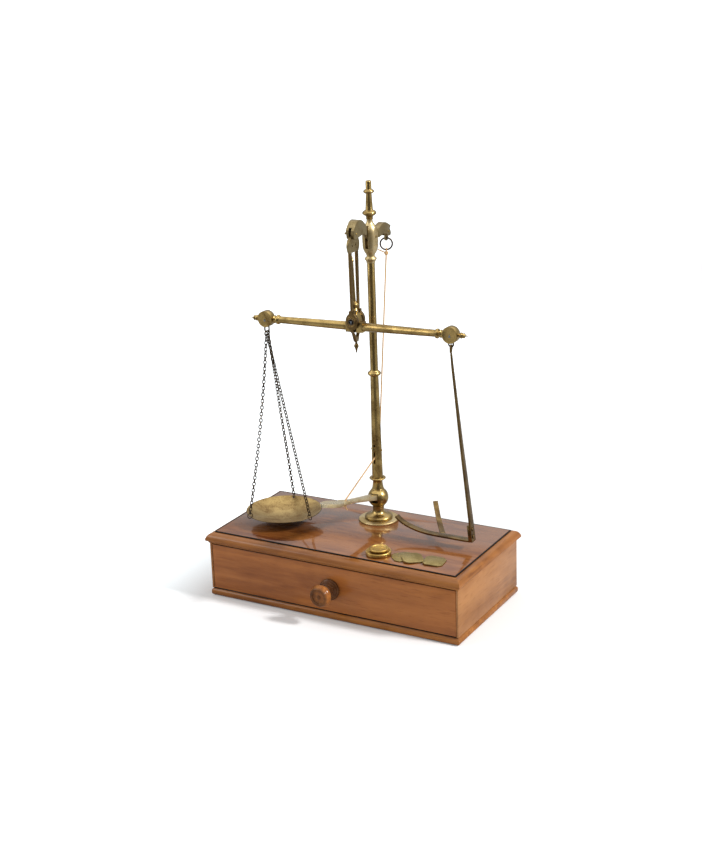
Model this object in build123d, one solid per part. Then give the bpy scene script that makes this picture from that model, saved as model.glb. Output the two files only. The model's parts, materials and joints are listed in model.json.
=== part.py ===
"""Apothecary's pillar beam scale on a mahogany drawer box.

Millimetres, +Z up, +X along the box front to the right, +Y to the back.
The origin is the centre of the underside of the box.
Every sub-part is one named node, written as parts/NODE.step.
"""

from build123d import *
import math
import os

os.makedirs("parts", exist_ok=True)

# ---------------------------------------------------------------- clearances
SLIDE_GAP = 0.5          # drawer to carcase, each side
PIN_GAP = 0.05           # radial running clearance of a pin in its eye
SIDE_PLAY = 0.25         # each side of a part that swings between two walls
LINK_GAP = 0.05          # between rings and links that hang in one another
CORD_SEAT = 0.4          # cord to the bottom of the pulley groove
CORD_END_GAP = 0.3       # rear cord to the start of the front cord
KNIFE_GAP = 0.03         # knife edge above its bearing
TABLE_GAP = 0.05         # loose weights above what they lie on

# ---------------------------------------------------------------- drawer box
BOX_LENGTH = 300.0
BOX_DEPTH = 145.2
BASE_HEIGHT = 8.2
BASE_OVERHANG = 1.0
BASE_NOSE_RADIUS = 3.2
QUIRK_HEIGHT = 0.6       # dark line between base and carcase
QUIRK_INSET = 0.6
CARCASE_HEIGHT = 52.6
TOP_THICKNESS = 13.0
SIDE_WALL = 7.0
SIDE_LIP = 2.2           # front edge of the side left beside the drawer front
BACK_WALL = 8.0
PANEL_INSET = 4.5        # edge of the flat top inside the carcase face
STRINGING_WIDTH = 1.3
STRINGING_DEPTH = 1.5
MOULDING_WIDTH = 8.3
MOULDING_DROP = 8.2      # slope of the moulding from the flat top to its nose
MOULDING_NOSE = 1.9
MOULDING_STRIP_HEIGHT = 2.3
MOULDING_STRIP_OUT = 1.1

DRAWER_FRONT_THICKNESS = 10.0
DRAWER_FRONT_SET_BACK = 0.4
DRAWER_WALL = 6.0
DRAWER_BOTTOM = 2.6
DRAWER_BOTTOM_LIFT = 1.0
DRAWER_WALL_DROP = 7.6   # drawer walls end this far under the top board
DRAWER_BACK_GAP = 2.6
DRAWER_TOP_GAP = 1.0

KNOB_HEIGHT = 34.6
KNOB_LENGTH = 24.8
KNOB_RADIUS = 11.9
KNOB_NECK_RADIUS = 4.4
KNOB_RIM_RADIUS = 6.9      # inner edge of the rim round the dished face
KNOB_BUTTON_RADIUS = 2.3
KNOB_TENON_RADIUS = 4.0

# ---------------------------------------------------------------- pillar
PILLAR_Y = 38.2
STUD_RADIUS = 4.0
STUD_HEAD = 9.0          # thread standing in the pillar foot
NUT_RADIUS = 7.5
NUT_HEIGHT = 5.0
WASHER_RADIUS = 9.5
WASHER_HEIGHT = 1.2
FLANGE_RADIUS = 22.0
FLANGE_HEIGHT = 1.6
FOOT_RADIUS = 15.3
FOOT_HEIGHT = 13.0
LOWER_NECK_RADIUS = 6.3
BALL_RADIUS = 11.35
BALL_RISE = 24.1         # ball centre above the flange
UPPER_NECK_RADIUS = 5.3
NECK_FOOT_RADIUS = 6.9     # ring where the neck leaves the ball
COLLAR_RADIUS = 8.7
COLLAR_RISE = 45.4
COLLAR_HEIGHT = 2.2
COLUMN_RADIUS = 5.7
COLUMN_TOP_RADIUS = 4.45
COLUMN_LENGTH = 114.9
COLUMN_RING_RADIUS = 7.3
COLUMN_RING_HEIGHT = 6.0
TUBE_RADIUS = 4.22
TUBE_LENGTH = 117.5
HEAD_RADIUS = 8.15
HEAD_LENGTH = 47.0
HEAD_SLOT_WIDTH = 3.6
HEAD_SLOT_LOW = 16.0     # slot above the foot of the head
HEAD_SLOT_HIGH = 40.0
HEAD_FLAT = 6.9
FINIAL_LENGTH = 39.5
FINIAL_RING_RADIUS = 7.45
FINIAL_BEAD_RADIUS = 5.75
FINIAL_SHAFT_RADIUS = 3.95
FINIAL_NECK_RADIUS = 3.05

# ---------------------------------------------------------------- lifting gear
LEVER_PIN_RADIUS = 1.5
LEVER_SLOPE = 13.3
LEVER_EYE_RADIUS = 3.4
LEVER_ARM_HALF_WIDTH = 4.5
LEVER_WAIST_HALF_WIDTH = 3.0
LEVER_LOBE_HALF_WIDTH = 6.2
LEVER_LEAF_HALF_WIDTH = 10.0
LEVER_LOBE_START = 71.0
LEVER_LEAF_START = 85.0
LEVER_LENGTH = 125.3
LEVER_TIP_RISE = 3.3
LEVER_ROOT_THICKNESS = 6.6
LEVER_ARM_THICKNESS = 4.2
LEVER_PAD_THICKNESS = 3.6
LEVER_CORD_HOLE = 74.0
LEVER_SLOT_HEIGHT = 10.0

PULLEY_RISE = 79.0       # pulley axle above the flange
PULLEY_RADIUS = 5.3
PULLEY_GROOVE_RADIUS = 4.6
PULLEY_WIDTH = 1.9
PULLEY_PIN_RADIUS = 0.9
PULLEY_PIN_LENGTH = 13.4
COLUMN_SLOT_WIDTH = 2.4
COLUMN_SLOT_BELOW = 14.9
COLUMN_SLOT_ABOVE = 6.7

ROCKER_PIN_RADIUS = 1.5
ROCKER_PIN_RISE = 28.1   # rocker pin above the foot of the head
ROCKER_WEB = 3.0
FRONT_FORK_WIDTH = 9.2
REAR_FORK_WIDTH = 7.0
FORK_PIN_RADIUS = 1.1
FORK_PIN_LEFT = 9.0
FORK_PIN_RIGHT = 5.4
REAR_PIN_Y = 73.0
REAR_PIN_DROP = 1.2      # rear fork pin below the rocker pin
TONGUE_THICKNESS = 2.0
TONGUE_EYE_RADIUS = 3.0
TONGUE_DROP = 7.2        # iron ring's hole below the rear pin
RING_RADIUS = 6.4
RING_WIRE_RADIUS = 0.85
RING_TURN = 27.0

CORD_RADIUS = 0.6
KNOT_RADIUS = 2.3
LEVER_KNOT_RADIUS = 1.75
CORD_BEND = 3.0          # length over which the front cord bends

# ---------------------------------------------------------------- shears
HANG_Y = 1.7             # plane in which shears and beam hang
FORK_PIN_RISE = 9.4      # fork pin above the rocker pin
SHEARS_THICKNESS = 2.7
SHIELD_HALF_WIDTH = 11.4
SHIELD_DROP = 18.6       # crotch below the fork pin
SHEARS_EYE_RADIUS = 3.0
LEG_INNER = 4.9          # inner face of a leg from the hanging plane
LEG_DEPTH = 3.9
LEG_WIDTH = 2.6
LEG_LENGTH = 61.0
LEG_TAPER = 0.8          # taken off the outside of a leg at its foot
CHEEK_HALF_WIDTH = 6.7
CHEEK_HEIGHT = 16.6
CHEEK_BLOCK_WIDTH = 5.8
BOSS_RADIUS = 5.5
BOSS_HEIGHT = 0.9
BEARING_RADIUS = 2.3
BEARING_WALL = 1.1
KNIFE_DROP = 93.0        # knife edge below the fork pin
STIRRUP_WIDTH = 3.2
STIRRUP_DROP = 14.5
STIRRUP_TIP = 12.5

# ---------------------------------------------------------------- beam
BEAM_TILT = -1.25        # degrees about +Y, right end up
BEAM_AXIS_DROP = 4.4     # beam axis under the central knife edge
BEAM_MID_RADIUS = 4.6
BEAM_END_RADIUS = 3.75
BEAM_RING_X = 95.0
BEAM_RING_RADIUS = 5.2
END_BOX_X = 110.0
END_BOX_RADIUS = 8.75
END_BOX_THICKNESS = 8.0
END_SLOT_WIDTH = 4.1
END_SLOT_HALF_LENGTH = 6.2
END_SLOT_TOP = 4.2
END_KNIFE_RISE = 0.9
FINIAL_X = 129.3
BLOCK_LEFT = 10.0
BLOCK_RIGHT = 12.0
BLOCK_HALF_THICKNESS = 4.4
BLOCK_STEP = 0.8
KNIFE_WIDTH = 3.0
KNIFE_HEIGHT = 3.2
POINTER_FOOT = 10.0      # foot of the pointer above the knife edge
POINTER_TOP = 70.4       # its tip above the knife edge

# ---------------------------------------------------------------- suspensions
LINK_WIRE = 0.8
LINK_WIDTH = 6.9
RING_WIRE = 0.7
LEFT_LINK_LENGTH = 18.4
RIGHT_LINK_LENGTH = 16.0
CHAIN_RING_BEND = 2.3    # end bends of the flattened ring
CHAIN_RING_HALF = 2.2    # half its straight bottom
CHAIN_WIRE = 0.9
CHAIN_LINK_LENGTH = 5.4
CHAIN_LINK_WIDTH = 4.1
CHAIN_LINK_NOSE = 0.95
CHAIN_HOLE_NOSE = 0.55
CHAIN_SPREAD = 2.15      # between two chains on the ring
CHAIN_END_GAP = 0.15     # a chain's end link to the wire through it
PAN_X = -92.6
PAN_Y = -9.2
PAN_RADIUS = 41.5
PAN_DEPTH = 10.0
PAN_WALL = 0.9
PAN_LIP = 0.6            # rim standing over the bowl's edge
PAN_RIM_Z = 87.4
PAN_HOLE_RADIUS = 1.4
PAN_HOLE_INSET = 2.9
PAN_RING_RADIUS = 2.9
PAN_RING_WIRE = 0.45
PAN_ANGLES = {"front": 236.0, "right": -15.0, "back": 106.0}

HOOK_WIRE = 0.9
HOOK_TINE = 6.0
STRIP_THICKNESS = 2.0
STRIP_FOOT_X = 132.0
STRIP_FOOT_Z = 84.0
STRIP_FOOT_WIDTH = 9.0
TAB_HEIGHT = 18.0
TAB_LEAN = 1.8
RIVET_RADIUS = 1.5
RIVET_HEAD_RADIUS = 2.1
CRADLE_LENGTH = 85.6     # heel to tip, as seen from the front
CRADLE_RISE = 15.4
CRADLE_TIP_WIDTH = 6.6
PRONG_WIDTH = 5.5
PRONG_X = 93.0           # where the prong leaves the cradle
PRONG_TIP_X = 64.0
PRONG_TIP_Y = 50.5
PRONG_RISE = 15.8

# ---------------------------------------------------------------- weights
DISC_RADIUS = 13.5
DISC_HEIGHT = 4.6
SMALL_DISC_RADIUS = 10.0
SMALL_DISC_HEIGHT = 3.6
DISC_X = 48.0
DISC_Y = -50.5
PLATE_SIDE = 22.0
PLATE_CUT = 4.2
PLATE_THICKNESS = 1.2

# ---------------------------------------------------------------- levels
CARCASE_Z = BASE_HEIGHT + QUIRK_HEIGHT
TOP_UNDERSIDE = CARCASE_Z + CARCASE_HEIGHT
TABLE_Z = TOP_UNDERSIDE + TOP_THICKNESS
FLANGE_TOP = TABLE_Z + FLANGE_HEIGHT
BALL_Z = FLANGE_TOP + BALL_RISE
COLLAR_Z = FLANGE_TOP + COLLAR_RISE
COLUMN_Z = COLLAR_Z + COLLAR_HEIGHT
PULLEY_Z = FLANGE_TOP + PULLEY_RISE
COLUMN_RING_Z = COLUMN_Z + COLUMN_LENGTH
TUBE_Z = COLUMN_RING_Z + COLUMN_RING_HEIGHT
HEAD_Z = TUBE_Z + TUBE_LENGTH
FINIAL_Z = HEAD_Z + HEAD_LENGTH
ROCKER_Z = HEAD_Z + ROCKER_PIN_RISE
FORK_PIN_Z = ROCKER_Z + FORK_PIN_RISE
REAR_PIN_Z = ROCKER_Z - REAR_PIN_DROP
KNIFE_Z = FORK_PIN_Z - KNIFE_DROP
CROTCH_Z = FORK_PIN_Z - SHIELD_DROP
BEAM_Z = KNIFE_Z - BEAM_AXIS_DROP
BOX_FRONT = -BOX_DEPTH / 2
BOX_BACK = BOX_DEPTH / 2


# ---------------------------------------------------------------- helpers
def outline_face(points):
    """Face inside (u, v, bulge) points.

    A bulge arcs the run that ends at its point, to the right of the way there.
    """
    edges = []
    for start, end in zip(points, points[1:] + points[:1]):
        bulge = end[2] if len(end) > 2 else 0
        if bulge:
            edges.append(SagittaArc(start[:2], end[:2], -bulge))
        else:
            edges.append(Line(start[:2], end[:2]))
    return make_face(edges)


def turned(points, y=0.0, x=0.0):
    """Solid of (radius, z, bulge) points turned about a vertical axis."""
    body = revolve(Plane.XZ * outline_face(points), Axis.Z)
    return Pos(x, y, 0) * body


def turned_x(points):
    """Solid of (radius, x, bulge) points turned about the X axis."""
    return Rot(0, 90, 0) * turned(points)


def rod(start, end, radius):
    """Round rod from one point to another."""
    line = Vector(*end) - Vector(*start)
    return Plane(origin=start, z_dir=line) * extrude(Circle(radius), line.length)


def pin_x(x_low, x_high, y, z, radius):
    """Pin or hole along X."""
    return rod((x_low, y, z), (x_high, y, z), radius)


def side_plate(points, half_width, x=0.0):
    """Plate of (y, z, bulge) points, this half width either side of x."""
    face = Plane.YZ * outline_face(points)
    return Pos(x, 0, 0) * extrude(face, half_width, both=True)


def front_plate(points, y, half_depth):
    """Plate of (x, z, bulge) points, this half depth either side of y."""
    face = Plane.XZ * outline_face(points)
    return Pos(0, y, 0) * extrude(face, half_depth, both=True)


def plan_prism(points, z_low, z_high):
    """Upright prism of (x, y, bulge) points."""
    return Pos(0, 0, z_low) * extrude(outline_face(points), z_high - z_low)


def block(x, y, z):
    """Box between (low, high) pairs along the three axes."""
    size = [high - low for low, high in (x, y, z)]
    centre = [(high + low) / 2 for low, high in (x, y, z)]
    return Pos(*centre) * Box(*size)


def torus(centre, normal, radius, wire):
    """Round ring about a normal."""
    return Plane(origin=centre, z_dir=normal) * Torus(radius, wire)


def rope(points, radius):
    """Round cord through points, its corners filled by balls."""
    cord = rod(points[0], points[1], radius)
    for start, end in zip(points[1:], points[2:]):
        cord = cord + Pos(*start) * Sphere(radius) + rod(start, end, radius)
    return cord


NODES = {}


def keep(name, shape):
    """Remember a finished node under its name."""
    NODES[name] = shape


# ---------------------------------------------------------------- drawer box
def make_base():
    """Bullnosed base board with the narrow quirk above it."""
    half_x = BOX_LENGTH / 2 + BASE_OVERHANG
    half_y = BOX_DEPTH / 2 + BASE_OVERHANG
    board = block((-half_x, half_x), (-half_y, half_y), (0, BASE_HEIGHT))
    rims = board.edges().filter_by(Axis.Z, reverse=True)
    board = fillet(rims, BASE_NOSE_RADIUS)
    quirk_x = BOX_LENGTH / 2 - QUIRK_INSET
    quirk_y = BOX_DEPTH / 2 - QUIRK_INSET
    quirk = block((-quirk_x, quirk_x), (-quirk_y, quirk_y), (BASE_HEIGHT, CARCASE_Z))
    keep("base_board", board + quirk)


def make_carcase():
    """Two sides rebated for the drawer front, and the back between them."""
    outer = BOX_LENGTH / 2
    inner = outer - SIDE_WALL
    rebate_end = BOX_FRONT + DRAWER_FRONT_SET_BACK + DRAWER_FRONT_THICKNESS
    side = block((inner, outer), (BOX_FRONT, BOX_BACK), (CARCASE_Z, TOP_UNDERSIDE))
    rebate = block((inner, outer - SIDE_LIP), (BOX_FRONT, rebate_end), (CARCASE_Z, TOP_UNDERSIDE))
    side = side - rebate
    keep("carcase_sides", Compound(children=[side, mirror(side, Plane.YZ)]))
    back = block((-inner, inner), (BOX_BACK - BACK_WALL, BOX_BACK), (CARCASE_Z, TOP_UNDERSIDE))
    keep("back_board", back)


def moulding_rail(half_length, half_depth):
    """Front rail of the top moulding with mitred ends, as (out, z) profile."""
    nose_z = TABLE_Z - MOULDING_DROP
    under_z = nose_z - MOULDING_NOSE
    strip_out = PANEL_INSET + MOULDING_STRIP_OUT
    strip_z = under_z - MOULDING_STRIP_HEIGHT
    profile = [
        (0, TABLE_Z, -0.5),
        (0, TOP_UNDERSIDE),
        (PANEL_INSET, TOP_UNDERSIDE),
        (strip_out, strip_z + 0.6),
        (strip_out, under_z - 0.4),
        (MOULDING_WIDTH - 0.9, under_z),
        (MOULDING_WIDTH, nose_z, -0.5),
        (MOULDING_WIDTH - 1.2, nose_z + 1.2, -0.25),
    ]
    face = outline_face([(-p[0], *p[1:]) for p in profile])
    reach = half_length + MOULDING_WIDTH
    rail = Pos(reach, -half_depth, 0) * extrude(Plane.YZ * face, -2 * reach)
    far = MOULDING_WIDTH + 1.0
    mitre = plan_prism(
        [
            (-half_length, -half_depth),
            (half_length, -half_depth),
            (half_length + far, -half_depth - far),
            (-half_length - far, -half_depth - far),
        ],
        TOP_UNDERSIDE - 1,
        TABLE_Z + 1,
    )
    return rail & mitre


def make_top():
    """Flat top panel, black stringing and four mitred mouldings."""
    half_x = BOX_LENGTH / 2 - PANEL_INSET
    half_y = BOX_DEPTH / 2 - PANEL_INSET
    inner_x = half_x - STRINGING_WIDTH
    inner_y = half_y - STRINGING_WIDTH
    groove_z = TABLE_Z - STRINGING_DEPTH
    panel = block((-half_x, half_x), (-half_y, half_y), (TOP_UNDERSIDE, groove_z))
    panel += block((-inner_x, inner_x), (-inner_y, inner_y), (groove_z, TABLE_Z))
    panel -= rod((0, PILLAR_Y, TOP_UNDERSIDE), (0, PILLAR_Y, TABLE_Z), STUD_RADIUS)
    keep("top_panel", panel)
    line = block((-half_x, half_x), (-half_y, half_y), (groove_z, TABLE_Z))
    line -= block((-inner_x, inner_x), (-inner_y, inner_y), (groove_z, TABLE_Z))
    keep("top_stringing", line)
    front = moulding_rail(half_x, half_y)
    side = Rot(0, 0, 90) * moulding_rail(half_y, half_x)
    rails = [front, mirror(front, Plane.XZ), side, mirror(side, Plane.YZ)]
    keep("top_moulding", Compound(children=rails))


def make_drawer():
    """Drawer box with its lipped front, and the turned knob."""
    front_y = BOX_FRONT + DRAWER_FRONT_SET_BACK
    wall_y = front_y + DRAWER_FRONT_THICKNESS
    back_y = BOX_BACK - BACK_WALL - DRAWER_BACK_GAP
    low = CARCASE_Z + SLIDE_GAP
    high = TOP_UNDERSIDE - DRAWER_WALL_DROP
    half_front = BOX_LENGTH / 2 - SIDE_LIP - SLIDE_GAP
    front = block((-half_front, half_front), (front_y, wall_y), (low, TOP_UNDERSIDE - DRAWER_TOP_GAP))
    face_edges = front.faces().sort_by(Axis.Y)[0].edges()
    front = chamfer(face_edges, 0.4)
    tenon = rod((0, wall_y, KNOB_HEIGHT), (0, front_y, KNOB_HEIGHT), KNOB_TENON_RADIUS)
    keep("drawer_front", front - tenon)
    outer = BOX_LENGTH / 2 - SIDE_WALL - SLIDE_GAP
    inner = outer - DRAWER_WALL
    side = block((inner, outer), (wall_y, back_y), (low, high))
    keep("drawer_sides", Compound(children=[side, mirror(side, Plane.YZ)]))
    back = block((-inner, inner), (back_y - DRAWER_WALL, back_y), (low, high))
    keep("drawer_back", back)
    floor = low + DRAWER_BOTTOM_LIFT
    bottom = block((-inner, inner), (wall_y, back_y - DRAWER_WALL), (floor, floor + DRAWER_BOTTOM))
    keep("drawer_bottom", bottom)
    knob = turned(
        [
            (0, -DRAWER_FRONT_THICKNESS),
            (KNOB_TENON_RADIUS, -DRAWER_FRONT_THICKNESS),
            (KNOB_TENON_RADIUS, 0),
            (KNOB_RADIUS - 0.5, 0),
            (KNOB_RADIUS - 0.5, 2.4, 0.5),
            (10.2, 2.9),
            (9.6, 4.3, 0.3),
            (7.9, 4.7),
            (7.2, 6.2, 0.3),
            (KNOB_NECK_RADIUS, 8.6, -0.6),
            (KNOB_NECK_RADIUS + 0.4, 11.4, -0.3),
            (KNOB_RADIUS - 0.6, 17.0, 1.2),
            (KNOB_RADIUS - 0.6, 20.6, 0.6),
            (9.9, KNOB_LENGTH - 0.9, 0.5),
            (9.0, KNOB_LENGTH, 0.2),
            (KNOB_RIM_RADIUS, KNOB_LENGTH),
            (KNOB_RIM_RADIUS - 0.5, KNOB_LENGTH - 1.5),
            (KNOB_BUTTON_RADIUS, KNOB_LENGTH - 1.5),
            (KNOB_BUTTON_RADIUS, KNOB_LENGTH - 0.9),
            (1.5, KNOB_LENGTH - 0.4),
            (0, KNOB_LENGTH - 0.3),
        ]
    )
    keep("drawer_knob", Pos(0, front_y, KNOB_HEIGHT) * (Rot(90, 0, 0) * knob))


# ---------------------------------------------------------------- pillar
def make_pillar():
    """Flange, turned foot with the slotted ball, column, tube, head, finial."""
    y = PILLAR_Y
    stud_low = TOP_UNDERSIDE - WASHER_HEIGHT - NUT_HEIGHT
    stud_high = FLANGE_TOP + STUD_HEAD
    stud = rod((0, y, stud_low), (0, y, stud_high), STUD_RADIUS)
    keep("pillar_stud", stud)
    washer_z = TOP_UNDERSIDE - WASHER_HEIGHT
    washer = Pos(0, y, 0) * extrude(Pos(0, 0, washer_z) * Circle(WASHER_RADIUS), WASHER_HEIGHT)
    hexagon = Pos(0, y, stud_low) * extrude(RegularPolygon(NUT_RADIUS, 6), NUT_HEIGHT)
    keep("pillar_nut", Compound(children=[washer - stud, hexagon - stud]))
    flange = turned(
        [
            (0, TABLE_Z),
            (FLANGE_RADIUS, TABLE_Z),
            (FLANGE_RADIUS, TABLE_Z + 0.6),
            (FLANGE_RADIUS - 1.0, FLANGE_TOP, 0.3),
            (0, FLANGE_TOP),
        ],
        y,
    )
    keep("flange_plate", flange - stud)

    neck_z = FLANGE_TOP + FOOT_HEIGHT
    ball_low = BALL_Z - math.sqrt(BALL_RADIUS**2 - LOWER_NECK_RADIUS**2)
    ball_high = BALL_Z + math.sqrt(BALL_RADIUS**2 - NECK_FOOT_RADIUS**2)
    ball_bulge = BALL_RADIUS - (LOWER_NECK_RADIUS + NECK_FOOT_RADIUS) / 2
    foot = turned(
        [
            (0, FLANGE_TOP),
            (FOOT_RADIUS - 0.9, FLANGE_TOP),
            (FOOT_RADIUS - 0.9, FLANGE_TOP + 3.4, 0.9),
            (FOOT_RADIUS - 2.2, FLANGE_TOP + 4.4),
            (LOWER_NECK_RADIUS, neck_z, -2.2),
            (LOWER_NECK_RADIUS, ball_low),
            (NECK_FOOT_RADIUS, ball_high, ball_bulge),
            (NECK_FOOT_RADIUS, ball_high + 0.9),
            (UPPER_NECK_RADIUS, COLLAR_Z - 2.6, -0.3),
            (COLLAR_RADIUS - 0.6, COLLAR_Z, -0.5),
            (COLLAR_RADIUS, COLLAR_Z + 0.6),
            (COLLAR_RADIUS, COLLAR_Z + COLLAR_HEIGHT - 0.6, 0.3),
            (COLLAR_RADIUS - 0.8, COLLAR_Z + COLLAR_HEIGHT),
            (0, COLLAR_Z + COLLAR_HEIGHT),
        ],
        y,
    )
    slot_half = LEVER_ARM_HALF_WIDTH + SIDE_PLAY
    slot_low = BALL_Z - LEVER_SLOT_HEIGHT / 2 + 1.2
    slot = block(
        (-slot_half, slot_half),
        (y - BALL_RADIUS - 1, y + LEVER_EYE_RADIUS + 1),
        (slot_low, slot_low + LEVER_SLOT_HEIGHT),
    )
    lever_pin = pin_x(-BALL_RADIUS + 0.2, BALL_RADIUS - 0.2, y, BALL_Z, LEVER_PIN_RADIUS)
    keep("lever_pin", lever_pin)
    keep("pillar_foot", foot - slot - lever_pin - stud)

    column = turned(
        [
            (0, COLUMN_Z),
            (COLUMN_RADIUS, COLUMN_Z),
            (COLUMN_TOP_RADIUS, COLUMN_RING_Z),
            (0, COLUMN_RING_Z),
        ],
        y,
    )
    slot = block(
        (-COLUMN_SLOT_WIDTH / 2, COLUMN_SLOT_WIDTH / 2),
        (y - 2 * COLUMN_RADIUS, y + 2 * COLUMN_RADIUS),
        (PULLEY_Z - COLUMN_SLOT_BELOW, PULLEY_Z + COLUMN_SLOT_ABOVE),
    )
    half_pin = PULLEY_PIN_LENGTH / 2
    pulley_pin = pin_x(-half_pin, half_pin, y, PULLEY_Z, PULLEY_PIN_RADIUS)
    keep("pulley_pin", pulley_pin)
    keep("column_lower", column - slot - pulley_pin)
    ring = turned(
        [
            (0, COLUMN_RING_Z),
            (COLUMN_TOP_RADIUS + 1.2, COLUMN_RING_Z),
            (COLUMN_RING_RADIUS - 0.9, COLUMN_RING_Z + 1.1),
            (COLUMN_RING_RADIUS - 0.9, COLUMN_RING_Z + 4.7, 0.9),
            (TUBE_RADIUS + 0.8, TUBE_Z),
            (0, TUBE_Z),
        ],
        y,
    )
    tube = rod((0, y, TUBE_Z), (0, y, HEAD_Z), TUBE_RADIUS)
    keep("column_upper", tube + ring)


def make_head():
    """Slotted vase at the head of the pillar, its pin, and the finial."""
    y = PILLAR_Y
    head = turned(
        [
            (0, HEAD_Z),
            (TUBE_RADIUS + 0.5, HEAD_Z),
            (5.9, HEAD_Z + 3.2, -0.4),
            (6.1, HEAD_Z + 5.4, 0.4),
            (4.6, HEAD_Z + 6.6),
            (4.6, HEAD_Z + 9.0, -0.2),
            (HEAD_RADIUS, HEAD_Z + 20.5, 1.2),
            (HEAD_RADIUS, HEAD_Z + 32.5, 0.2),
            (3.8, HEAD_Z + 42.2, 1.0),
            (3.15, HEAD_Z + HEAD_LENGTH - 1.0, -0.2),
            (4.4, HEAD_Z + HEAD_LENGTH, -0.2),
            (0, HEAD_Z + HEAD_LENGTH),
        ],
        y,
    )
    slot = block(
        (-HEAD_SLOT_WIDTH / 2, HEAD_SLOT_WIDTH / 2),
        (y - 2 * HEAD_RADIUS, y + 2 * HEAD_RADIUS),
        (HEAD_Z + HEAD_SLOT_LOW, HEAD_Z + HEAD_SLOT_HIGH),
    )
    flats = block(
        (HEAD_FLAT, 2 * HEAD_RADIUS),
        (y - 2 * HEAD_RADIUS, y + 2 * HEAD_RADIUS),
        (HEAD_Z + HEAD_SLOT_LOW + 3, HEAD_Z + HEAD_SLOT_HIGH - 3),
    )
    rocker_pin = pin_x(-HEAD_FLAT - 0.5, HEAD_FLAT + 0.5, y, ROCKER_Z, ROCKER_PIN_RADIUS)
    keep("rocker_pin", rocker_pin)
    keep("pillar_head", head - slot - flats - mirror(flats, Plane.YZ) - rocker_pin)
    ring_z = FINIAL_Z + 5.8
    bead_z = FINIAL_Z + 28.2
    finial = turned(
        [
            (0, FINIAL_Z),
            (5.0, FINIAL_Z),
            (FINIAL_RING_RADIUS - 1.6, ring_z - 2.3, -0.4),
            (FINIAL_RING_RADIUS - 1.6, ring_z + 2.3, 1.6),
            (FINIAL_SHAFT_RADIUS, ring_z + 3.0),
            (FINIAL_NECK_RADIUS, bead_z - 2.2),
            (FINIAL_BEAD_RADIUS - 1.6, bead_z - 1.9),
            (FINIAL_BEAD_RADIUS - 1.6, bead_z + 1.9, 1.6),
            (FINIAL_NECK_RADIUS, bead_z + 2.4),
            (FINIAL_NECK_RADIUS, FINIAL_Z + FINIAL_LENGTH - 0.8),
            (FINIAL_NECK_RADIUS - 0.9, FINIAL_Z + FINIAL_LENGTH),
            (0, FINIAL_Z + FINIAL_LENGTH),
        ],
        y,
    )
    keep("finial", finial)


# ---------------------------------------------------------------- lifting gear
def lever_place():
    """Frame of the lever: x forward along the arm, z up across it."""
    slope = math.radians(LEVER_SLOPE)
    forward = (0, -math.cos(slope), math.sin(slope))
    up = (0, math.sin(slope), math.cos(slope))
    return Plane(origin=(0, PILLAR_Y, BALL_Z), x_dir=forward, z_dir=up)


def make_lever():
    """Leaf-ended finger lever: plan outline met by a curved side profile."""
    half = LEVER_ARM_HALF_WIDTH
    lobe_mid = (LEVER_LOBE_START + LEVER_LEAF_START) / 2
    flank = [
        Line((-LEVER_EYE_RADIUS, half), (9, half)),
        Line((9, half), (LEVER_LOBE_START - 5, LEVER_WAIST_HALF_WIDTH)),
        Line((LEVER_LOBE_START - 5, LEVER_WAIST_HALF_WIDTH), (LEVER_LOBE_START, 3.8)),
        ThreePointArc(
            (LEVER_LOBE_START, 3.8), (lobe_mid, LEVER_LOBE_HALF_WIDTH), (LEVER_LEAF_START, 3.8)
        ),
        Spline(
            (LEVER_LEAF_START, 3.8),
            (LEVER_LEAF_START + 13, LEVER_LEAF_HALF_WIDTH),
            (LEVER_LEAF_START + 28, LEVER_LEAF_HALF_WIDTH - 2.2),
            (LEVER_LENGTH, 0),
        ),
    ]
    other = [mirror(edge, Plane.XZ) for edge in flank]
    end = Line((-LEVER_EYE_RADIUS, half), (-LEVER_EYE_RADIUS, -half))
    plan = extrude(make_face(flank + other + [end]), 12, both=True)
    root_half = LEVER_ROOT_THICKNESS / 2
    arm = LEVER_ARM_THICKNESS / 2
    pad = LEVER_PAD_THICKNESS / 2
    arm_end = LEVER_LENGTH / 3
    leaf_mid = LEVER_LEAF_START + 15
    rise = LEVER_TIP_RISE
    top = Spline(
        (0, root_half),
        (arm_end, arm),
        (LEVER_LOBE_START, pad),
        (leaf_mid, pad + 0.7),
        (LEVER_LENGTH, rise + pad),
    )
    low = Spline(
        (0, -root_half),
        (arm_end, -arm),
        (LEVER_LOBE_START, -pad),
        (leaf_mid, -pad + 0.7),
        (LEVER_LENGTH, rise - pad),
    )
    tip = Line((LEVER_LENGTH, rise + pad), (LEVER_LENGTH, rise - pad))
    root = Line((0, root_half), (0, -root_half))
    side = extrude(Plane.XZ * make_face([top, tip, low, root]), 12, both=True)
    eye = Rot(90, 0, 0) * Cylinder(LEVER_EYE_RADIUS, 2 * half)
    lever = (plan & side) + eye
    lever -= Rot(90, 0, 0) * Cylinder(LEVER_PIN_RADIUS + PIN_GAP, 3 * half)
    lever -= Pos(LEVER_CORD_HOLE, 0, 0) * Cylinder(CORD_RADIUS + 0.4, 20)
    place = lever_place()
    keep("lever", place * lever)
    knot_z = -pad - LEVER_KNOT_RADIUS - 0.05
    knot = Pos(LEVER_CORD_HOLE, 0, knot_z) * Sphere(LEVER_KNOT_RADIUS)
    tail = rod((LEVER_CORD_HOLE, 0, knot_z), (LEVER_CORD_HOLE - 1.2, 2.6, knot_z - 4.6), CORD_RADIUS)
    keep("lever_knot", place * (knot + tail))


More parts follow.
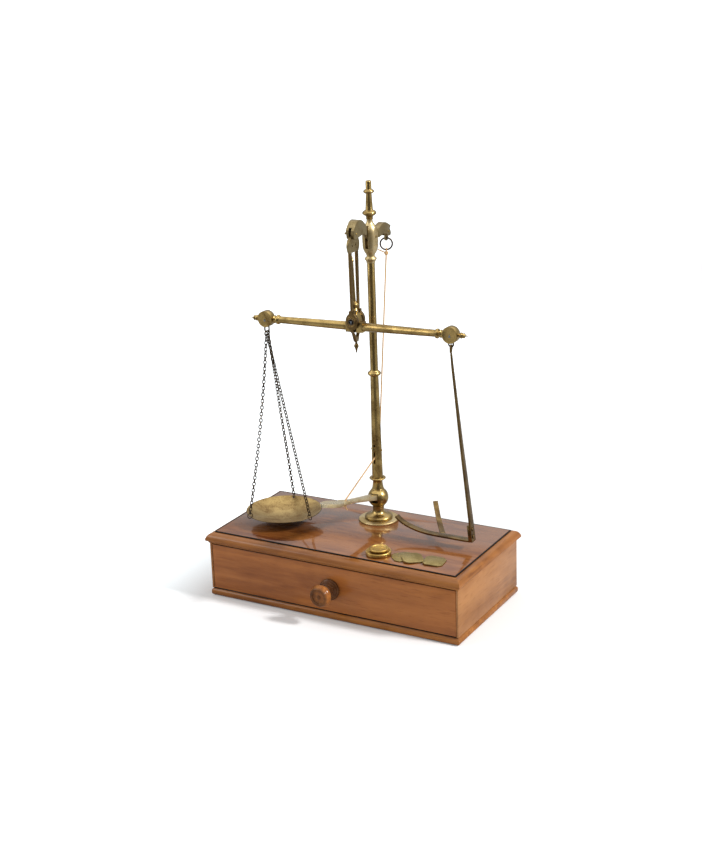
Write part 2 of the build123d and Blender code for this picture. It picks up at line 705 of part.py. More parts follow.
def cord_wrap():
    """Points where the cord meets and leaves the pulley, and the wrap radius."""
    wrap = PULLEY_GROOVE_RADIUS + CORD_SEAT + CORD_RADIUS
    top = rear_cord_top()
    rise = math.atan2(top[1] - PILLAR_Y - wrap, top[2] - PULLEY_Z)
    meet = (0, PILLAR_Y + wrap * math.cos(rise), PULLEY_Z - wrap * math.sin(rise))
    hole = lever_hole_top()
    drop = math.atan2(PULLEY_Z - wrap - hole[2], PILLAR_Y - hole[1])
    leave = (0, PILLAR_Y + wrap * math.sin(drop), PULLEY_Z - wrap * math.cos(drop))
    return meet, leave, wrap


def rear_cord_top():
    """Underside of the knot on the iron ring."""
    return (0, REAR_PIN_Y - 1.0, REAR_PIN_Z - TONGUE_DROP - 2 * RING_RADIUS - 6.0)


def lever_hole_top():
    """Mouth of the cord hole on the lever's upper face."""
    point = lever_place().from_local_coords((LEVER_CORD_HOLE, 0, LEVER_PAD_THICKNESS / 2 + 0.5))
    return (point.X, point.Y, point.Z)


def make_pulley_and_cord():
    """Grooved pulley, the straight rear cord, and the front cord to the lever."""
    half = PULLEY_WIDTH / 2
    pulley = turned_x(
        [
            (PULLEY_PIN_RADIUS + PIN_GAP, -half),
            (PULLEY_RADIUS, -half),
            (PULLEY_GROOVE_RADIUS, -0.15),
            (PULLEY_GROOVE_RADIUS, 0.15),
            (PULLEY_RADIUS, half),
            (PULLEY_PIN_RADIUS + PIN_GAP, half),
        ]
    )
    keep("pulley", Pos(0, PILLAR_Y, PULLEY_Z) * pulley)
    meet, leave, wrap = cord_wrap()
    top = rear_cord_top()
    rear_end = Vector(*meet) + (Vector(*top) - Vector(*meet)).normalized() * CORD_END_GAP
    keep("lift_cord_rear", rod(top, rear_end, CORD_RADIUS))
    turns = 4
    start = math.atan2(meet[2] - PULLEY_Z, meet[1] - PILLAR_Y)
    finish = math.atan2(leave[2] - PULLEY_Z, leave[1] - PILLAR_Y)
    arc = []
    for step in range(turns + 1):
        angle = start + (finish - start) * step / turns
        arc.append((0, PILLAR_Y + wrap * math.cos(angle), PULLEY_Z + wrap * math.sin(angle)))
    hole = lever_hole_top()
    below = lever_place().from_local_coords((LEVER_CORD_HOLE, 0, -LEVER_PAD_THICKNESS / 2))
    run = (Vector(*hole) - Vector(*arc[-1])).normalized() * CORD_BEND
    straight = [tuple(Vector(*arc[-1]) + run), tuple(Vector(*hole) - run)]
    route = arc + straight + [hole, (below.X, below.Y, below.Z)]
    keep("lift_cord_front", rope(route, CORD_RADIUS))


def make_rocker():
    """Hooded rocker through the pillar head, forked at both ends."""
    y = PILLAR_Y
    z = ROCKER_Z
    hood = Spline((1.4, z + 20.4), (7.0, z + 22.8), (13.5, z + 21.8), (19.8, z + 17.3), (27.4, z + 9.8))
    back = Spline((27.4, z + 9.8), (y, z + 5.4), (50.0, z + 5.8), (59.6, z + 9.4), (70.6, z + 8.1))
    rest = Polyline(
        (70.6, z + 8.1), (77.4, z + 4.6), (75.6, z + 1.6), (77.9, z - 3.2), (76.3, z - 6.2),
        (70.2, z - 5.6), (68.0, z - 2.4), (61.6, z - 1.6), (51.3, z - 3.6), (y, z - 5.6),
        (28.0, z + 0.6), (24.2, z + 5.2), (20.6, z + 4.8), (18.4, z + 7.2), (10.2, z + 6.0),
        (4.0, z + 4.9), (-1.9, z + 4.6), (-2.8, z + 5.7), (-4.1, z + 13.9), (1.4, z + 20.4),
    )
    body = extrude(Plane.YZ * make_face([hood, back, rest]), FRONT_FORK_WIDTH / 2, both=True)
    web = ROCKER_WEB / 2
    front = FRONT_FORK_WIDTH / 2
    rear = REAR_FORK_WIDTH / 2
    head_front = y - HEAD_RADIUS - 3.0
    head_back = y + HEAD_RADIUS + 3.2
    flank = [
        (front, -10), (front, head_front - 3.5), (web, head_front), (web, head_back),
        (rear, head_back + 3.0), (rear, 90),
    ]
    plan = plan_prism(flank + [(-px, py) for px, py in reversed(flank)], z - 20, z + 30)
    slot = SHEARS_THICKNESS / 2 + SIDE_PLAY
    front_slot = block((-slot, slot), (-10, 15.5), (z - 20, z + 16.4))
    tongue_slot = TONGUE_THICKNESS / 2 + SIDE_PLAY
    rear_slot = block((-tongue_slot, tongue_slot), (67.6, 90), (z - 20, z + 4.6))
    rocker = (body & plan) - front_slot - rear_slot
    rocker -= pin_x(-10, 10, y, z, ROCKER_PIN_RADIUS + PIN_GAP)
    fork_pin = pin_x(-FORK_PIN_LEFT, FORK_PIN_RIGHT, HANG_Y, FORK_PIN_Z, FORK_PIN_RADIUS)
    rear_pin = pin_x(-rear - 0.6, rear + 0.6, REAR_PIN_Y, REAR_PIN_Z, FORK_PIN_RADIUS)
    keep("rocker", rocker - fork_pin - rear_pin)
    keep("fork_pins", Compound(children=[fork_pin, rear_pin]))


def make_lift_link():
    """Tongue in the rear fork, the iron ring, and the cord knotted to it."""
    hole_z = REAR_PIN_Z - TONGUE_DROP
    tongue = side_plate(
        [
            (REAR_PIN_Y - 2.6, REAR_PIN_Z),
            (REAR_PIN_Y + 2.6, REAR_PIN_Z, -2.6),
            (REAR_PIN_Y + TONGUE_EYE_RADIUS, hole_z),
            (REAR_PIN_Y - TONGUE_EYE_RADIUS, hole_z, -TONGUE_EYE_RADIUS),
        ],
        TONGUE_THICKNESS / 2,
    )
    tongue -= pin_x(-5, 5, REAR_PIN_Y, REAR_PIN_Z, FORK_PIN_RADIUS + PIN_GAP)
    tongue -= pin_x(-5, 5, REAR_PIN_Y, hole_z, RING_WIRE_RADIUS + 0.8)
    keep("tongue", tongue)
    turn = math.radians(RING_TURN)
    ring_z = hole_z - RING_RADIUS
    facing = (math.sin(turn), -math.cos(turn), 0)
    ring = torus((0, REAR_PIN_Y, ring_z), facing, RING_RADIUS, RING_WIRE_RADIUS)
    keep("iron_ring", ring)
    wire_z = ring_z - RING_RADIUS
    loop_radius = RING_WIRE_RADIUS + CORD_RADIUS + LINK_GAP
    loop = torus((0, REAR_PIN_Y, wire_z), (math.cos(turn), math.sin(turn), 0), loop_radius, CORD_RADIUS)
    top = rear_cord_top()
    knot_z = wire_z - loop_radius - KNOT_RADIUS + 0.2
    knot = Pos(0, REAR_PIN_Y - 0.6, knot_z) * Sphere(KNOT_RADIUS)
    neck = rod((0, REAR_PIN_Y - 0.6, knot_z), top, CORD_RADIUS)
    tail = rod((0, REAR_PIN_Y - 0.6, knot_z), (-7.0, REAR_PIN_Y - 6.0, knot_z + 4.5), CORD_RADIUS)
    keep("cord_knot", knot + loop + neck + tail)


# ---------------------------------------------------------------- shears
def make_shears():
    """Shield with its eye, two legs with bearing cheeks, and the stirrup."""
    outer = LEG_INNER + LEG_DEPTH
    z = FORK_PIN_Z
    shield = side_plate(
        [
            (HANG_Y - outer, CROTCH_Z, 0.6),
            (HANG_Y + outer, CROTCH_Z),
            (HANG_Y + SHIELD_HALF_WIDTH, z - 10.6, 0.6),
            (HANG_Y + 2.6, z - 1.6, 2.2),
            (HANG_Y - 2.6, z - 1.6),
            (HANG_Y - SHIELD_HALF_WIDTH, z - 10.6, 2.2),
        ],
        SHEARS_THICKNESS / 2,
    )
    shield += pin_x(-SHEARS_THICKNESS / 2, SHEARS_THICKNESS / 2, HANG_Y, z, SHEARS_EYE_RADIUS)
    shield -= pin_x(-5, 5, HANG_Y, z, FORK_PIN_RADIUS + PIN_GAP)
    for side in (-1, 1):
        shield -= pin_x(-5, 5, HANG_Y + side * 3.25, z - 11.9, 1.1)
    keep("shears_shield", shield)

    cheek_top = CROTCH_Z - LEG_LENGTH
    centre_z = KNIFE_Z + BEARING_RADIUS - KNIFE_GAP
    cheek_low = centre_z - CHEEK_HEIGHT / 2
    wide = CHEEK_HALF_WIDTH
    narrow = CHEEK_BLOCK_WIDTH / 2
    mid_y = HANG_Y + LEG_INNER + LEG_DEPTH / 2
    leg_y = (mid_y - LEG_DEPTH / 2, mid_y + LEG_DEPTH / 2)
    leg = side_plate(
        [
            (leg_y[0], CROTCH_Z),
            (leg_y[1], CROTCH_Z),
            (leg_y[1] - LEG_TAPER, cheek_top),
            (leg_y[0] + LEG_TAPER / 2, cheek_top),
        ],
        LEG_WIDTH / 2,
    )
    cheek = front_plate(
        [
            (-narrow, cheek_top),
            (-narrow, centre_z + 8.2),
            (-wide, centre_z + 2.6, 0.6),
            (-wide, centre_z - 2.6, 0.3),
            (-narrow, cheek_low, 0.6),
            (narrow, cheek_low),
            (wide, centre_z - 2.6, 0.6),
            (wide, centre_z + 2.6, 0.3),
            (narrow, centre_z + 8.2, 0.6),
            (narrow, cheek_top),
        ],
        mid_y,
        LEG_DEPTH / 2,
    )
    boss = rod((0, mid_y, centre_z), (0, mid_y + LEG_DEPTH / 2 + BOSS_HEIGHT, centre_z), BOSS_RADIUS)
    groove_y = mid_y + LEG_DEPTH / 2 + BOSS_HEIGHT - 0.4
    groove = rod((0, groove_y, centre_z), (0, groove_y + 1, centre_z), BOSS_RADIUS - 0.8)
    groove -= rod((0, groove_y, centre_z), (0, groove_y + 1, centre_z), BOSS_RADIUS - 1.4)
    bore = rod((0, mid_y - 5, centre_z), (0, mid_y + 5, centre_z), BEARING_RADIUS + BEARING_WALL)
    back_leg = leg + cheek + boss - groove - bore
    front_leg = mirror(back_leg, Plane(origin=(0, HANG_Y, 0), z_dir=(0, 1, 0)))
    keep("shears_leg_back", back_leg)
    keep("shears_leg_front", front_leg)
    sleeve_low = mid_y - LEG_DEPTH / 2
    sleeve_high = mid_y + LEG_DEPTH / 2 + BOSS_HEIGHT
    sleeve = rod((0, sleeve_low, centre_z), (0, sleeve_high, centre_z), BEARING_RADIUS + BEARING_WALL)
    sleeve -= rod((0, sleeve_low - 1, centre_z), (0, sleeve_high + 1, centre_z), BEARING_RADIUS)
    other = mirror(sleeve, Plane(origin=(0, HANG_Y, 0), z_dir=(0, 1, 0)))
    keep("shears_bearings", Compound(children=[sleeve, other]))

    top = cheek_low
    low = top - STIRRUP_DROP
    stirrup = side_plate(
        [
            (HANG_Y - outer, top),
            (HANG_Y - outer + 0.4, top - 3.2),
            (HANG_Y - 6.4, top - 4.4),
            (HANG_Y - 2.4, low),
            (HANG_Y + 2.4, low),
            (HANG_Y + 6.4, top - 4.4),
            (HANG_Y + outer - 0.4, top - 3.2),
            (HANG_Y + outer, top),
            (HANG_Y + outer - 2.8, top),
            (HANG_Y + outer - 3.2, top - 3.6),
            (HANG_Y + 1.6, top - 9.2),
            (HANG_Y - 1.6, top - 9.2),
            (HANG_Y - outer + 3.2, top - 3.6),
            (HANG_Y - outer + 2.8, top),
        ],
        STIRRUP_WIDTH / 2,
    )
    spike = turned(
        [
            (0, low - STIRRUP_TIP),
            (0.5, low - STIRRUP_TIP + 0.6),
            (1.4, low - 7.4),
            (1.4, low - 2.6, 1.0),
            (1.2, low),
            (0, low),
        ],
        HANG_Y,
    )
    keep("shears_stirrup", stirrup + spike)


# ---------------------------------------------------------------- beam
def tilted(shape):
    """Turn a level beam piece into its rest tilt about the central knife."""
    pivot = Pos(0, HANG_Y, KNIFE_Z)
    return pivot * (Rot(0, BEAM_TILT, 0) * (Pos(0, -HANG_Y, -KNIFE_Z) * shape))


def on_beam(x, rise):
    """Place of a point of the beam axis, this far along and above it, tilted."""
    tilt = math.radians(BEAM_TILT)
    up = BEAM_Z + rise - KNIFE_Z
    return (
        x * math.cos(tilt) + up * math.sin(tilt),
        HANG_Y,
        KNIFE_Z - x * math.sin(tilt) + up * math.cos(tilt),
    )


def knife(x, length, edge_z, up):
    """Triangular knife along Y with its edge up (1) or down (-1)."""
    half = KNIFE_WIDTH / 2
    back = edge_z - up * KNIFE_HEIGHT
    prism = front_plate([(x, edge_z), (x + half, back), (x - half, back)], HANG_Y, length / 2)
    return prism


def make_beam():
    """Turned beam with its centre block, knives, box ends and pointer."""
    edge = LEG_INNER + LEG_DEPTH + BOSS_HEIGHT
    block_low = BEAM_Z - BEAM_MID_RADIUS - 0.8
    block_top = BEAM_Z + BEAM_MID_RADIUS + 0.8
    foot_z = KNIFE_Z + POINTER_FOOT
    bar_end = END_BOX_X - END_BOX_RADIUS + 0.6
    arm = [
        (0, BLOCK_LEFT),
        (BEAM_MID_RADIUS, BLOCK_LEFT),
        (BEAM_END_RADIUS, BEAM_RING_X - 2.2),
        (BEAM_RING_RADIUS - 0.6, BEAM_RING_X - 1.6),
        (BEAM_RING_RADIUS - 0.6, BEAM_RING_X + 1.4, 0.6),
        (3.0, BEAM_RING_X + 2.0),
        (4.4, BEAM_RING_X + 4.2, -0.5),
        (2.8, bar_end, -0.4),
        (0, bar_end),
    ]
    right = Pos(0, HANG_Y, BEAM_Z) * turned_x(arm)
    drum_at = Pos(END_BOX_X, HANG_Y, BEAM_Z)
    drum = Rot(90, 0, 0) * Cylinder(END_BOX_RADIUS, END_BOX_THICKNESS)
    rim = Rot(90, 0, 0) * Cylinder(END_BOX_RADIUS - 1.2, END_BOX_THICKNESS + 1)
    drum = drum - (rim - Rot(90, 0, 0) * Cylinder(END_BOX_RADIUS + 1, END_BOX_THICKNESS - 0.6))
    half_slot = END_SLOT_WIDTH / 2
    drum -= block(
        (-END_SLOT_HALF_LENGTH, END_SLOT_HALF_LENGTH),
        (-half_slot, half_slot),
        (-END_BOX_RADIUS - 1, END_SLOT_TOP),
    )
    drum = drum_at * drum
    end_knife = knife(END_BOX_X, END_BOX_THICKNESS - 0.2, BEAM_Z + END_KNIFE_RISE, 1)
    drum -= end_knife
    tip = [
        (0, END_BOX_X + END_BOX_RADIUS - 0.6),
        (2.2, END_BOX_X + END_BOX_RADIUS - 0.6),
        (1.8, END_BOX_X + END_BOX_RADIUS + 1.0, -0.3),
        (1.8, END_BOX_X + END_BOX_RADIUS + 5.0, 1.4),
        (2.4, END_BOX_X + END_BOX_RADIUS + 5.4),
        (2.4, END_BOX_X + END_BOX_RADIUS + 6.6, 0.3),
        (0.9, END_BOX_X + END_BOX_RADIUS + 7.2),
        (0.3, FINIAL_X),
        (0, FINIAL_X),
    ]
    finial = Pos(0, HANG_Y, BEAM_Z) * turned_x(tip)
    finial -= drum
    right -= drum
    thick = BLOCK_HALF_THICKNESS
    thin = thick - BLOCK_STEP
    centre = block((-BLOCK_LEFT, BLOCK_LEFT), (HANG_Y - thick, HANG_Y + thick), (block_low, block_top))
    centre += block(
        (BLOCK_LEFT, BLOCK_RIGHT),
        (HANG_Y - thin, HANG_Y + thin),
        (block_low + 2.2, block_top - 2.4),
    )
    shoulder = front_plate(
        [
            (-6.4, block_top, 0.8),
            (6.4, block_top),
            (3.4, foot_z, 0.8),
            (-3.4, foot_z),
        ],
        HANG_Y,
        thick,
    )
    main_knife = knife(0, 2 * edge, KNIFE_Z, -1)
    boss = centre + shoulder - main_knife
    arms = [right - boss, mirror(right, Plane.YZ) - boss]
    keep("beam_block", tilted(boss))
    keep("beam_arms", Compound(children=[tilted(each) for each in arms]))
    keep("end_box_right", tilted(drum))
    keep("end_box_left", tilted(mirror(drum, Plane.YZ)))
    knives = [main_knife, end_knife, mirror(end_knife, Plane.YZ)]
    keep("beam_knives", Compound(children=[tilted(each) for each in knives]))
    tips = [finial, mirror(finial, Plane.YZ)]
    keep("end_finials", Compound(children=[tilted(each) for each in tips]))
    needle = turned(
        [
            (0, foot_z),
            (3.3, foot_z),
            (3.4, foot_z + 3.4, 0.3),
            (2.2, foot_z + 6.2, -0.3),
            (3.0, foot_z + 7.0),
            (3.0, foot_z + 10.8, 1.0),
            (1.5, foot_z + 12.4),
            (1.15, foot_z + 15.0),
            (1.0, KNIFE_Z + POINTER_TOP - 7.0),
            (1.0, KNIFE_Z + POINTER_TOP - 4.0, 0.5),
            (0.8, KNIFE_Z + POINTER_TOP - 3.6),
            (0.2, KNIFE_Z + POINTER_TOP),
            (0, KNIFE_Z + POINTER_TOP),
        ],
        HANG_Y,
    )
    keep("pointer", tilted(needle))


# ---------------------------------------------------------------- suspensions
def oval_ring(bend, half, wire):
    """Oval ring in the X-Y plane, straight along Y between its end bends."""
    path = Wire(
        [
            Line((bend, -half), (bend, half)),
            ThreePointArc((bend, half), (0, half + bend), (-bend, half)),
            Line((-bend, half), (-bend, -half)),
            ThreePointArc((-bend, -half), (0, -half - bend), (bend, -half)),
        ]
    )
    start = Plane(origin=(bend, -half, 0), z_dir=(0, 1, 0))
    return sweep(start * Circle(wire), path=path)


def oval_link(x, top_z, length):
    """Upright oval link in the X-Z plane, its outer top at top_z."""
    link = oval_ring(LINK_WIDTH / 2 - LINK_WIRE, (length - LINK_WIDTH) / 2, LINK_WIRE)
    return Pos(x, HANG_Y, top_z - length / 2) * (Rot(90, 0, 0) * link)


def hexagon(half_length, half_width, nose):
    """Six-sided outline with blunt ends, each this nose either side of X."""
    corners = [
        (half_length, nose),
        (0, half_width),
        (-half_length, nose),
        (-half_length, -nose),
        (0, -half_width),
        (half_length, -nose),
    ]
    return Polygon(*corners, align=None)


def chain_link(extra=0.0):
    """One flat-sided link along X, its face normal along Z."""
    half_l = (CHAIN_LINK_LENGTH + extra) / 2
    half_w = CHAIN_LINK_WIDTH / 2
    ring = hexagon(half_l, half_w, CHAIN_LINK_NOSE)
    hole = hexagon(half_l - CHAIN_WIRE, half_w - CHAIN_WIRE, CHAIN_HOLE_NOSE)
    return extrude(ring - hole, CHAIN_WIRE / 2, both=True)


def make_chain(start, end, first_normal, last_normal, end_wires, extra):
    """Chain of real links between two wires, its twist spread evenly.

    The first link is longer by extra, so that chains side by side clear.
    """
    start = Vector(*start)
    line = Vector(*end) - start
    along = line.normalized()
    inner = CHAIN_LINK_LENGTH / 2 - CHAIN_WIRE
    first = inner - end_wires[0] - CHAIN_END_GAP
    last = inner - end_wires[1] - CHAIN_END_GAP
    run = line.length - first - last - extra
    count = math.ceil(run / (2 * inner - LINK_GAP)) + 1
    pitch = run / (count - 1)
    base = Plane(origin=start, x_dir=along, z_dir=square_to(first_normal, along))
    target = base.to_local_coords(start + square_to(last_normal, along))
    twist = math.degrees(math.atan2(-target.Y, target.Z))
    spare = (twist - 90 * (count - 1) + 90) % 180 - 90
    step = 90 + spare / (count - 1)
    links = [base * (Pos(first + extra / 2, 0, 0) * chain_link(extra))]
    link = chain_link()
    for index in range(1, count):
        spot = Pos(first + extra + index * pitch, 0, 0) * (Rot(index * step, 0, 0) * link)
        links.append(base * spot)
    return Compound(children=links)


def square_to(direction, along):
    """Direction made square to a line."""
    direction = Vector(*direction)
    return (direction - along * direction.dot(along)).normalized()


def make_left_suspension():
    """Oval link, ring, three chains and the brass pan."""
    knife_at = on_beam(-END_BOX_X, END_KNIFE_RISE)
    top_z = knife_at[2] + 2 * LINK_WIRE + KNIFE_GAP
    link = oval_link(knife_at[0], top_z, LEFT_LINK_LENGTH)
    link_floor = top_z - LEFT_LINK_LENGTH + 2 * LINK_WIRE
    ring_z = link_floor + LINK_GAP - RING_WIRE - CHAIN_RING_BEND + 2 * RING_WIRE
    ring = Rot(0, 90, 0) * oval_ring(CHAIN_RING_BEND, CHAIN_RING_HALF, RING_WIRE)
    ring = Pos(knife_at[0], HANG_Y, ring_z) * ring
    keep("left_links", Compound(children=[link, ring]))

    sphere = (PAN_RADIUS**2 + PAN_DEPTH**2) / (2 * PAN_DEPTH)
    outer_low = PAN_RIM_Z - PAN_DEPTH
    half_chord = math.hypot(PAN_RADIUS, PAN_DEPTH) / 2
    sag = sphere - math.sqrt(sphere**2 - half_chord**2)
    bowl = [
        (0, outer_low),
        (PAN_RADIUS, PAN_RIM_Z, sag),
        (PAN_RADIUS - 0.2, PAN_RIM_Z + PAN_LIP, 0.2),
        (PAN_RADIUS - 1.0, PAN_RIM_Z + PAN_LIP - 0.1, 0.2),
        (0, outer_low + PAN_WALL, -sag),
    ]
    pan = turned(bowl)
    rings = []
    ring_r = PAN_RADIUS - 0.9
    for angle in PAN_ANGLES.values():
        turn = Rot(0, 0, angle)
        hole_r = PAN_RADIUS - PAN_HOLE_INSET
        pan -= turn * (Pos(hole_r, 0, PAN_RIM_Z) * Cylinder(PAN_HOLE_RADIUS, 10))
        ring = torus((ring_r, 0, PAN_RIM_Z + PAN_LIP), (0, 1, 0), PAN_RING_RADIUS, PAN_RING_WIRE)
        rings.append(turn * ring)
    place = Pos(PAN_X, PAN_Y, 0)
    keep("brass_pan", place * pan)
    keep("pan_rings", Compound(children=[place * ring for ring in rings]))

    spread = {"front": -CHAIN_SPREAD, "right": 0.0, "back": CHAIN_SPREAD}
    ring_top = PAN_RIM_Z + PAN_LIP + PAN_RING_RADIUS
    for name, angle in PAN_ANGLES.items():
        start = (knife_at[0], HANG_Y + spread[name], ring_z - CHAIN_RING_BEND)
        way = math.radians(angle)
        radial = (math.cos(way), math.sin(way), 0)
        end = (PAN_X + ring_r * radial[0], PAN_Y + ring_r * radial[1], ring_top)
        extra = CHAIN_LINK_LENGTH - 2 * CHAIN_WIRE if name == "right" else 0.0
        wires = (RING_WIRE, PAN_RING_WIRE)
        keep("chain_" + name, make_chain(start, end, (0, 1, 0), radial, wires, extra))


def make_right_suspension():
    """Oval link, hooked hanger strip, riveted cradle and its back prong."""
    knife_at = on_beam(END_BOX_X, END_KNIFE_RISE)
    top_z = knife_at[2] + 2 * LINK_WIRE + KNIFE_GAP
    link = oval_link(knife_at[0], top_z, RIGHT_LINK_LENGTH)
    keep("right_link", link)
    x = knife_at[0]
    wire_z = top_z - RIGHT_LINK_LENGTH + LINK_WIRE
    bend = LINK_WIRE + HOOK_WIRE + LINK_GAP
    strip_top = wire_z - 7.0
    path = [
        Line((x, HANG_Y - bend, wire_z - HOOK_TINE), (x, HANG_Y - bend, wire_z)),
        ThreePointArc(
            (x, HANG_Y - bend, wire_z), (x, HANG_Y, wire_z + bend), (x, HANG_Y + bend, wire_z)
        ),
        Spline(
            (x, HANG_Y + bend, wire_z),
            (x, HANG_Y, strip_top),
            tangents=((0, 0, -1), (0, 0, -1)),
        ),
    ]
    start = Plane(origin=(x, HANG_Y - bend, wire_z - HOOK_TINE), z_dir=(0, 0, 1))
    hook = sweep(start * Circle(HOOK_WIRE), path=Wire(path))
    sway = STRIP_FOOT_X - x
    drop = strip_top - STRIP_FOOT_Z
    stations = [
        (0.0, 0.0, 1.7, 1.7),
        (0.055, 0.07, 2.6, 1.8),
        (0.207, 0.223, 3.6, 1.9),
        (0.426, 0.447, 4.8, STRIP_THICKNESS),
        (0.681, 0.691, 6.6, STRIP_THICKNESS),
        (1 - TAB_LEAN / sway, 1 - TAB_HEIGHT / drop, 8.4, STRIP_THICKNESS),
        (1.0, 1.0, STRIP_FOOT_WIDTH, STRIP_THICKNESS),
    ]
    sections = []
    for out, down, width, thickness in stations:
        place = Pos(x + out * sway, HANG_Y, strip_top - down * drop)
        sections.append(place * Rectangle(thickness, width))
    strip = loft(sections, ruled=True)
    lean = math.degrees(math.atan2(TAB_LEAN, TAB_HEIGHT))
    half_t = STRIP_THICKNESS / 2
    tab_plane = Pos(STRIP_FOOT_X - half_t, HANG_Y, STRIP_FOOT_Z) * Rot(0, -lean, 0)
    foot = STRIP_FOOT_WIDTH / 2
    tip = CRADLE_TIP_WIDTH / 2
    tab = tab_plane * block((-STRIP_THICKNESS, 0), (-foot, foot), (0, TAB_HEIGHT))
    rivets = []
    for rise in (5.0, 13.0):
        shank = rod((-STRIP_THICKNESS - 0.4, 0, rise), (STRIP_THICKNESS, 0, rise), RIVET_RADIUS)
        head = rod((STRIP_THICKNESS, 0, rise), (STRIP_THICKNESS + 0.8, 0, rise), RIVET_HEAD_RADIUS)
        rivets.append(tab_plane * (shank + head))
    holes = rivets[0] + rivets[1]
    keep("hanger_strip", hook + strip - holes)
    keep("hanger_rivets", Compound(children=rivets))

    floor_z = STRIP_FOOT_Z - 0.6
    heel = STRIP_FOOT_X - half_t
    upper = [
        (0.0, 0.15),
        (0.082, 0.13),
        (0.27, 0.13),
        (0.457, 0.125),
        (0.643, 0.195),
        (0.793, 0.38),
        (0.91, 0.66),
        (0.983, 1.0),
    ]
    lower = [
        (1.0, 0.91),
        (0.925, 0.555),
        (0.8, 0.26),
        (0.648, 0.065),
        (0.457, -0.005),
        (0.27, 0.0),
        (0.082, 0.0),
        (0.0, 0.025),
    ]
    top_pts = [(heel - out * CRADLE_LENGTH, floor_z + up * CRADLE_RISE) for out, up in upper]
    low_pts = [(heel - out * CRADLE_LENGTH, floor_z + up * CRADLE_RISE) for out, up in lower]
    run = make_face(
        [
            Spline(*top_pts),
            Line(top_pts[-1], low_pts[0]),
            Spline(*low_pts),
            Line(low_pts[-1], top_pts[0]),
        ]
    )
    cradle = extrude(Plane.XZ * run, foot + 1, both=True)
    near = STRIP_FOOT_X + 5
    far = heel - CRADLE_LENGTH - 5
    taper = [(near, -foot), (near, foot), (far, tip), (far, -tip)]
    cradle &= plan_prism(taper, floor_z - 4, floor_z + CRADLE_RISE + 10)
    cradle = Pos(0, HANG_Y, 0) * cradle
    cradle = cradle + tab - strip - holes
    keep("cradle_strip", cradle)

    reach = math.dist((PRONG_X, HANG_Y), (PRONG_TIP_X, PRONG_TIP_Y))
    heading = math.degrees(math.atan2(PRONG_TIP_Y - HANG_Y, PRONG_TIP_X - PRONG_X))
    deep = STRIP_THICKNESS
    prong_z = floor_z + deep - 0.2
    tip_z = prong_z + PRONG_RISE
    near_end = 0.35 * reach
    side = make_face(
        [
            Spline((0, prong_z), (near_end, prong_z + 1.2), (reach, tip_z)),
            Line((reach, tip_z), (reach + 0.8, tip_z - 1.8)),
            Spline((reach + 0.8, tip_z - 1.8), (near_end + 0.6, prong_z + 1.2 - deep), (0, prong_z - deep)),
            Line((0, prong_z - deep), (0, prong_z)),
        ]
    )
    prong = extrude(Plane.XZ * side, PRONG_WIDTH / 2, both=True)
    prong = Pos(PRONG_X, HANG_Y, 0) * (Rot(0, 0, heading) * prong)
    edge_y = HANG_Y + (tip + foot) / 2 - 0.1
    prong -= block((PRONG_TIP_X, STRIP_FOOT_X), (-STRIP_FOOT_WIDTH, edge_y), (floor_z - 5, tip_z + 5))
    keep("back_prong", prong - cradle)


# ---------------------------------------------------------------- weights
def make_weights():
    """Two turned discs in a stack and three cut-corner plates."""
    z = TABLE_Z + TABLE_GAP
    recess = 0.8
    large = turned(
        [
            (0, z),
            (DISC_RADIUS - 1.4, z),
            (DISC_RADIUS, z + 1.4),
            (DISC_RADIUS, z + DISC_HEIGHT - 0.5),
            (DISC_RADIUS - 0.5, z + DISC_HEIGHT),
            (DISC_RADIUS - 1.6, z + DISC_HEIGHT),
            (DISC_RADIUS - 2.2, z + DISC_HEIGHT - recess),
            (0, z + DISC_HEIGHT - recess),
        ],
        DISC_Y,
        DISC_X,
    )
    keep("weight_disc_large", large)
    top = z + DISC_HEIGHT - recess + TABLE_GAP
    small = turned(
        [
            (0, top),
            (SMALL_DISC_RADIUS - 2.4, top),
            (SMALL_DISC_RADIUS, top + 1.8),
            (SMALL_DISC_RADIUS, top + SMALL_DISC_HEIGHT - 0.5),
            (SMALL_DISC_RADIUS - 0.5, top + SMALL_DISC_HEIGHT),
            (SMALL_DISC_RADIUS - 1.6, top + SMALL_DISC_HEIGHT),
            (SMALL_DISC_RADIUS - 2.2, top + SMALL_DISC_HEIGHT - recess),
            (0, top + SMALL_DISC_HEIGHT - recess),
        ],
        DISC_Y + 0.5,
        DISC_X + 0.5,
    )
    keep("weight_disc_small", small)
    square = Rectangle(PLATE_SIDE, PLATE_SIDE)
    plate = extrude(chamfer(square.vertices(), PLATE_CUT), PLATE_THICKNESS)
    half_span = PLATE_SIDE * math.sqrt(0.5) - PLATE_CUT * 0.67
    step = PLATE_THICKNESS + TABLE_GAP
    spots = [
        (DISC_X + 27.0, DISC_Y + 3.0, 42, 0),
        (DISC_X + 38.6, DISC_Y + 1.9, 42, half_span - 0.6),
        (DISC_X + 62.2, DISC_Y + 5.3, 7, 2 * half_span - 1.0),
    ]
    for index, (x, y, turn, run) in enumerate(spots, start=1):
        lean = math.asin(step / run) if run else 0.0
        rise = half_span * math.sin(lean) + TABLE_GAP if run else 0.0
        tip = Rot(0, math.degrees(lean), 0) * (Rot(0, 0, turn) * plate)
        keep("weight_plate_" + str(index), Pos(x, y, z + rise) * tip)


make_base()
make_carcase()
make_top()
make_drawer()
make_pillar()
make_head()
make_lever()
make_pulley_and_cord()
make_rocker()
make_lift_link()
make_shears()
make_beam()
make_left_suspension()
make_right_suspension()
make_weights()

for node_name, node_shape in NODES.items():
    export_step(node_shape, f"parts/{node_name}.step")
print("cord radius mm:", CORD_RADIUS)
print("nodes:", len(NODES))
